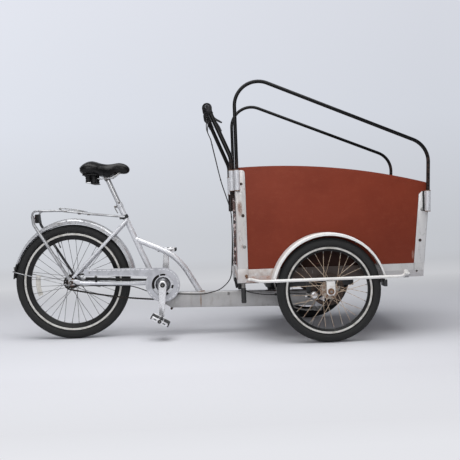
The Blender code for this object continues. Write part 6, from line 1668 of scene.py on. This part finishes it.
def backdrop_paper():
    """Seamless studio paper: matt, pale and a little blue, with painted shade that makes it greyer where it
    turns up behind and darker towards the right.
    """
    made = bpy.data.materials.new("studio_paper")
    made.use_nodes = True
    tree = made.node_tree
    shader = tree.nodes["Principled BSDF"]
    place = add(tree, "TexCoord").outputs["Object"]
    parts = add(tree, "SeparateXYZ", {"Vector": place})
    along = add(tree, "Math", {0: parts.outputs[1], 1: parts.outputs[2]}, operation="ADD")
    first, last = BACKDROP_TONES[0][0], BACKDROP_TONES[-1][0]
    share = add(tree, "MapRange", {"Value": along.outputs[0], "From Min": first, "From Max": last})
    ramp = add(tree, "ValToRGB", {0: share.outputs[0]})
    stops = ramp.color_ramp.elements
    while len(stops) < len(BACKDROP_TONES):
        stops.new(0.5)
    for stop, (height, tone) in zip(stops, BACKDROP_TONES):
        stop.position = (height - first) / (last - first)
        stop.color = linear(tone)
    # Painted shade: the paper is darkened towards the right, as the light falls off.
    sideways_falloff_shade = add(tree, "MapRange", {"Value": parts.outputs[0], "From Min": -3.3, "From Max": 3.3,
            "To Min": 1.04, "To Max": 0.9})
    shaded = add(tree, "VectorMath", {0: ramp.outputs[0], "Scale": sideways_falloff_shade.outputs[0]},
        operation="SCALE")
    tree.links.new(shaded.outputs[0], shader.inputs["Base Color"])
    shader.inputs["Roughness"].default_value = 0.9
    shader.inputs["Specular IOR Level"].default_value = 0.1
    grain = add(tree, "TexNoise", {"Vector": place, "Scale": 400.0})
    bump = add(tree, "Bump", {"Height": grain.outputs[0], "Distance": 0.0001})
    tree.links.new(bump.outputs[0], shader.inputs["Normal"])
    seen = add(tree, "LightPath")
    glow = add(tree, "Emission", {"Color": shaded.outputs[0]})
    clear = add(tree, "Math", {0: seen.outputs["Is Camera Ray"], 1: seen.outputs["Is Glossy Ray"]},
        operation="MAXIMUM")
    far = add(tree, "MapRange", {"Value": along.outputs[0], "From Min": 0.9, "From Max": 2.6})
    fore = add(tree, "MapRange", {"Value": along.outputs[0], "From Min": -0.8, "From Max": -1.5})
    ends = add(tree, "Math", {0: far.outputs[0], 1: fore.outputs[0]}, operation="MAXIMUM")
    blend = add(tree, "Math", {0: clear.outputs[0], 1: ends.outputs[0]}, operation="MULTIPLY")
    mixed = add(tree, "MixShader", {0: blend.outputs[0], 1: shader.outputs[0], 2: glow.outputs[0]})
    tree.links.new(mixed.outputs[0], tree.nodes["Material Output"].inputs["Surface"])
    return made


def area_light(name, place, target, size, watts):
    lamp = bpy.data.lights.new(name, "AREA")
    lamp.shape = "RECTANGLE"
    lamp.size, lamp.size_y = size
    lamp.energy = watts
    obj = placed(name, lamp)
    obj.location = place
    obj.rotation_euler = (Vector(target) - Vector(place)).to_track_quat("-Z", "Y").to_euler()


def build_stage(stage):
    scene = bpy.context.scene
    scene.view_settings.view_transform = "Standard"
    wall = stage.backdrop_distance
    profile = [(-7.0, 0.0), (wall - 0.45, 0.0)]
    profile += [(wall - 0.45 + 0.45 * sin(radians(a)), 0.45 - 0.45 * cos(radians(a)))
        for a in range(8, 91, 8)] + [(wall, 0.45), (wall, 5.2)]
    bm = bmesh.new()
    rows = [[bm.verts.new((x, y, z)) for x in (-7.0, -2.0, 2.0, 7.0)] for y, z in profile]
    for row, after in zip(rows, rows[1:]):
        for i in range(3):
            bm.faces.new((row[i], row[i + 1], after[i + 1], after[i]))
    data = filled("studio_sheet", bm)
    data.shade_smooth()
    data.materials.append(backdrop_paper())
    placed("studio_sheet", data)
    area_light("overhead", (-0.2, -0.9, 3.3), (0.0, 0.1, 0.3), (4.2, 2.6), stage.overhead_watts)
    area_light("front", (-0.6, -4.6, 2.3), (0.0, 0.0, 0.5), (3.6, 2.0), stage.front_watts)
    world = bpy.data.worlds.new("studio_air")
    world.use_nodes = True
    air = world.node_tree.nodes["Background"]
    air.inputs["Color"].default_value = linear("#E9EAEF")
    air.inputs["Strength"].default_value = stage.air_strength
    scene.world = world
    lens = bpy.data.cameras.new("camera")
    lens.sensor_fit = "HORIZONTAL"
    lens.sensor_width = 36.0
    lens.lens = CAMERA_LENS_MM
    yaw, pitch, roll = CAMERA_TURNS
    ahead = at(sin(yaw) * cos(pitch), cos(yaw) * cos(pitch), sin(pitch))
    right = at(cos(yaw), -sin(yaw), 0)
    up = right.cross(ahead)
    side = right * cos(roll) + up * sin(roll)
    top = up * cos(roll) - right * sin(roll)
    camera = placed("camera", lens)
    camera.matrix_world = Matrix.Translation(CAMERA_PLACE) @ Matrix((side, top, -ahead)).transposed().to_4x4()
    scene.camera = camera


def number_choice(kind, name, words, value, low, high, **more):
    return kind(name=name, description=words, default=value, min=low, max=high, **more)


def length_choice(name, words, value, low, high):
    return number_choice(bpy.props.FloatProperty, name, words, value, low, high, subtype="DISTANCE",
        unit="LENGTH")


def colour_choice(name, words, finish_name):
    return bpy.props.FloatVectorProperty(name=name, description=words, subtype="COLOR", size=4, min=0.0,
        max=1.0, default=linear(FINISHES[finish_name]["base"]))


class TricycleColours(bpy.types.PropertyGroup):
    """Base colours of the main finishes"""
    silver_enamel: colour_choice("Frame enamel", "Sprayed enamel of the frame", "silver_enamel")
    film_faced_plywood: colour_choice("Board", "Film on the plywood of the load box", "film_faced_plywood")
    aluminium_extruded: colour_choice("Profiles", "Angles and rails of the load box", "aluminium_extruded")
    white_enamel: colour_choice("Front mudguards", "Enamel of the front mudguards", "white_enamel")
    black_coat_weathered: colour_choice("Hoops", "Powder coat of hoops and push bar", "black_coat_weathered")
    vinyl_cover: colour_choice("Saddle", "Cover of the saddle", "vinyl_cover")


class TricycleSizes(bpy.types.PropertyGroup):
    """Sizes of the small parts that the CAD model leaves to this script"""
    tread_depth: length_choice("Tread depth", "Depth of the grooves in the tyres", 0.0012, 0.0, 0.003)
    spoke_diameter: length_choice("Spoke diameter", "Thickness of the wheels' wire spokes", 0.0021, 0.001,
        0.004)
    rear_spokes: number_choice(bpy.props.IntProperty, "Rear spokes", "Spokes of the rear wheel", 36, 16, 48,
        step=4)
    front_spokes: number_choice(bpy.props.IntProperty, "Front spokes", "Spokes of each front wheel", 28, 16,
        48, step=4)
    chain_links: number_choice(bpy.props.IntProperty, "Chain links",
        "Links in the chain's loop; an even number", 102, 90, 116, step=2)


class TricycleStage(bpy.types.PropertyGroup):
    """The studio round the tricycle"""
    backdrop_distance: length_choice("Backdrop distance", "From the middle to the paper wall", 6.0, 2.0, 9.0)
    overhead_watts: number_choice(bpy.props.FloatProperty, "Overhead light", "Power of the softbox above",
        122.0, 0.0, 1000.0, unit="POWER")
    front_watts: number_choice(bpy.props.FloatProperty, "Front light", "Power of the softbox in front", 60.0,
        0.0, 1000.0, unit="POWER")
    air_strength: number_choice(bpy.props.FloatProperty, "Air light", "Strength of the light from all round",
        0.38, 0.0, 2.0)


class TRICYCLE_OT_stage(bpy.types.Operator):
    """Sets up the paper sheet, the lights and the camera"""
    bl_idname = "tricycle.stage"
    bl_label = "Stage"

    def execute(self, context):
        build_stage(context.scene.tricycle_stage)
        return {"FINISHED"}


class TRICYCLE_OT_cables(bpy.types.Operator):
    """Lays the brake cable and the gear cable"""
    bl_idname = "tricycle.cables"
    bl_label = "Cables"

    def execute(self, context):
        build_cables()
        return {"FINISHED"}


class TRICYCLE_OT_frame_tubes(bpy.types.Operator):
    """Builds the beam, the tubes and the stays with their welds"""
    bl_idname = "tricycle.frame_tubes"
    bl_label = "Frame tubes"

    def execute(self, context):
        build_frame_tubes()
        return {"FINISHED"}


class TRICYCLE_OT_rear_mudguard(bpy.types.Operator):
    """Builds the rear mudguard and its stay"""
    bl_idname = "tricycle.rear_mudguard"
    bl_label = "Rear mudguard"

    def execute(self, context):
        build_rear_fender()
        return {"FINISHED"}


class TRICYCLE_OT_rack(bpy.types.Operator):
    """Builds the luggage rack, its spring flap and the reflector"""
    bl_idname = "tricycle.rack"
    bl_label = "Rack"

    def execute(self, context):
        build_rack()
        return {"FINISHED"}


class TRICYCLE_OT_wheels(bpy.types.Operator):
    """Builds the three tyres and laced wheels"""
    bl_idname = "tricycle.wheels"
    bl_label = "Wheels"

    def execute(self, context):
        build_rear_wheel(context.scene.tricycle_sizes)
        build_front_wheels(context.scene.tricycle_sizes)
        return {"FINISHED"}


class TRICYCLE_OT_drive(bpy.types.Operator):
    """Builds the chain, its guard, the cranks and the pedals"""
    bl_idname = "tricycle.drive"
    bl_label = "Drive"

    def execute(self, context):
        build_chain(context.scene.tricycle_sizes)
        build_chain_guard()
        build_cranks()
        build_pedals()
        return {"FINISHED"}


class TRICYCLE_OT_saddle(bpy.types.Operator):
    """Builds the padded saddle, its springs, its post and the clamp"""
    bl_idname = "tricycle.saddle"
    bl_label = "Saddle"

    def execute(self, context):
        build_saddle()
        return {"FINISHED"}


class TRICYCLE_OT_load_box(bpy.types.Operator):
    """Builds the boards, the corner angles and the rail of the load box"""
    bl_idname = "tricycle.load_box"
    bl_label = "Load box"

    def execute(self, context):
        build_panels()
        build_box_edges()
        return {"FINISHED"}


class TRICYCLE_OT_hoops_and_bar(bpy.types.Operator):
    """Builds the cover's hoops and the push bar with its grips and levers"""
    bl_idname = "tricycle.hoops_and_bar"
    bl_label = "Hoops and push bar"

    def execute(self, context):
        build_hoops()
        build_handlebar()
        return {"FINISHED"}


class TRICYCLE_OT_carriers(bpy.types.Operator):
    """Builds what carries the front wheels, with the side bars, mudguards and brakes"""
    bl_idname = "tricycle.carriers"
    bl_label = "Front carriers"

    def execute(self, context):
        build_carriers()
        build_front_fenders()
        return {"FINISHED"}


STEPS = (TRICYCLE_OT_stage, TRICYCLE_OT_cables, TRICYCLE_OT_frame_tubes, TRICYCLE_OT_rear_mudguard,
    TRICYCLE_OT_rack, TRICYCLE_OT_wheels, TRICYCLE_OT_drive, TRICYCLE_OT_saddle, TRICYCLE_OT_load_box,
    TRICYCLE_OT_hoops_and_bar, TRICYCLE_OT_carriers)


class TRICYCLE_PT_pieces(bpy.types.Panel):
    """Lists the settings and the steps"""
    bl_label = "Cargo tricycle"
    bl_idname = "TRICYCLE_PT_pieces"
    bl_space_type = "VIEW_3D"
    bl_region_type = "UI"
    bl_category = "Tricycle"

    def draw(self, context):
        for group in (context.scene.tricycle_colours, context.scene.tricycle_sizes,
                context.scene.tricycle_stage):
            column = self.layout.column()
            for name in group.__annotations__:
                column.prop(group, name)
        for step in STEPS:
            self.layout.operator(step.bl_idname)


GROUPS = {"tricycle_colours": TricycleColours, "tricycle_sizes": TricycleSizes,
    "tricycle_stage": TricycleStage}


def register():
    for cls in (*GROUPS.values(), *STEPS, TRICYCLE_PT_pieces):
        bpy.utils.register_class(cls)
    for name, group in GROUPS.items():
        setattr(bpy.types.Scene, name, bpy.props.PointerProperty(type=group))


def unregister():
    for name in GROUPS:
        delattr(bpy.types.Scene, name)
    for cls in (TRICYCLE_PT_pieces, *reversed(STEPS), *reversed(GROUPS.values())):
        bpy.utils.unregister_class(cls)


def main():
    register()
    for step in STEPS:
        area, verb = step.bl_idname.split(".")
        getattr(getattr(bpy.ops, area), verb)()


if __name__ == "__main__":
    main()
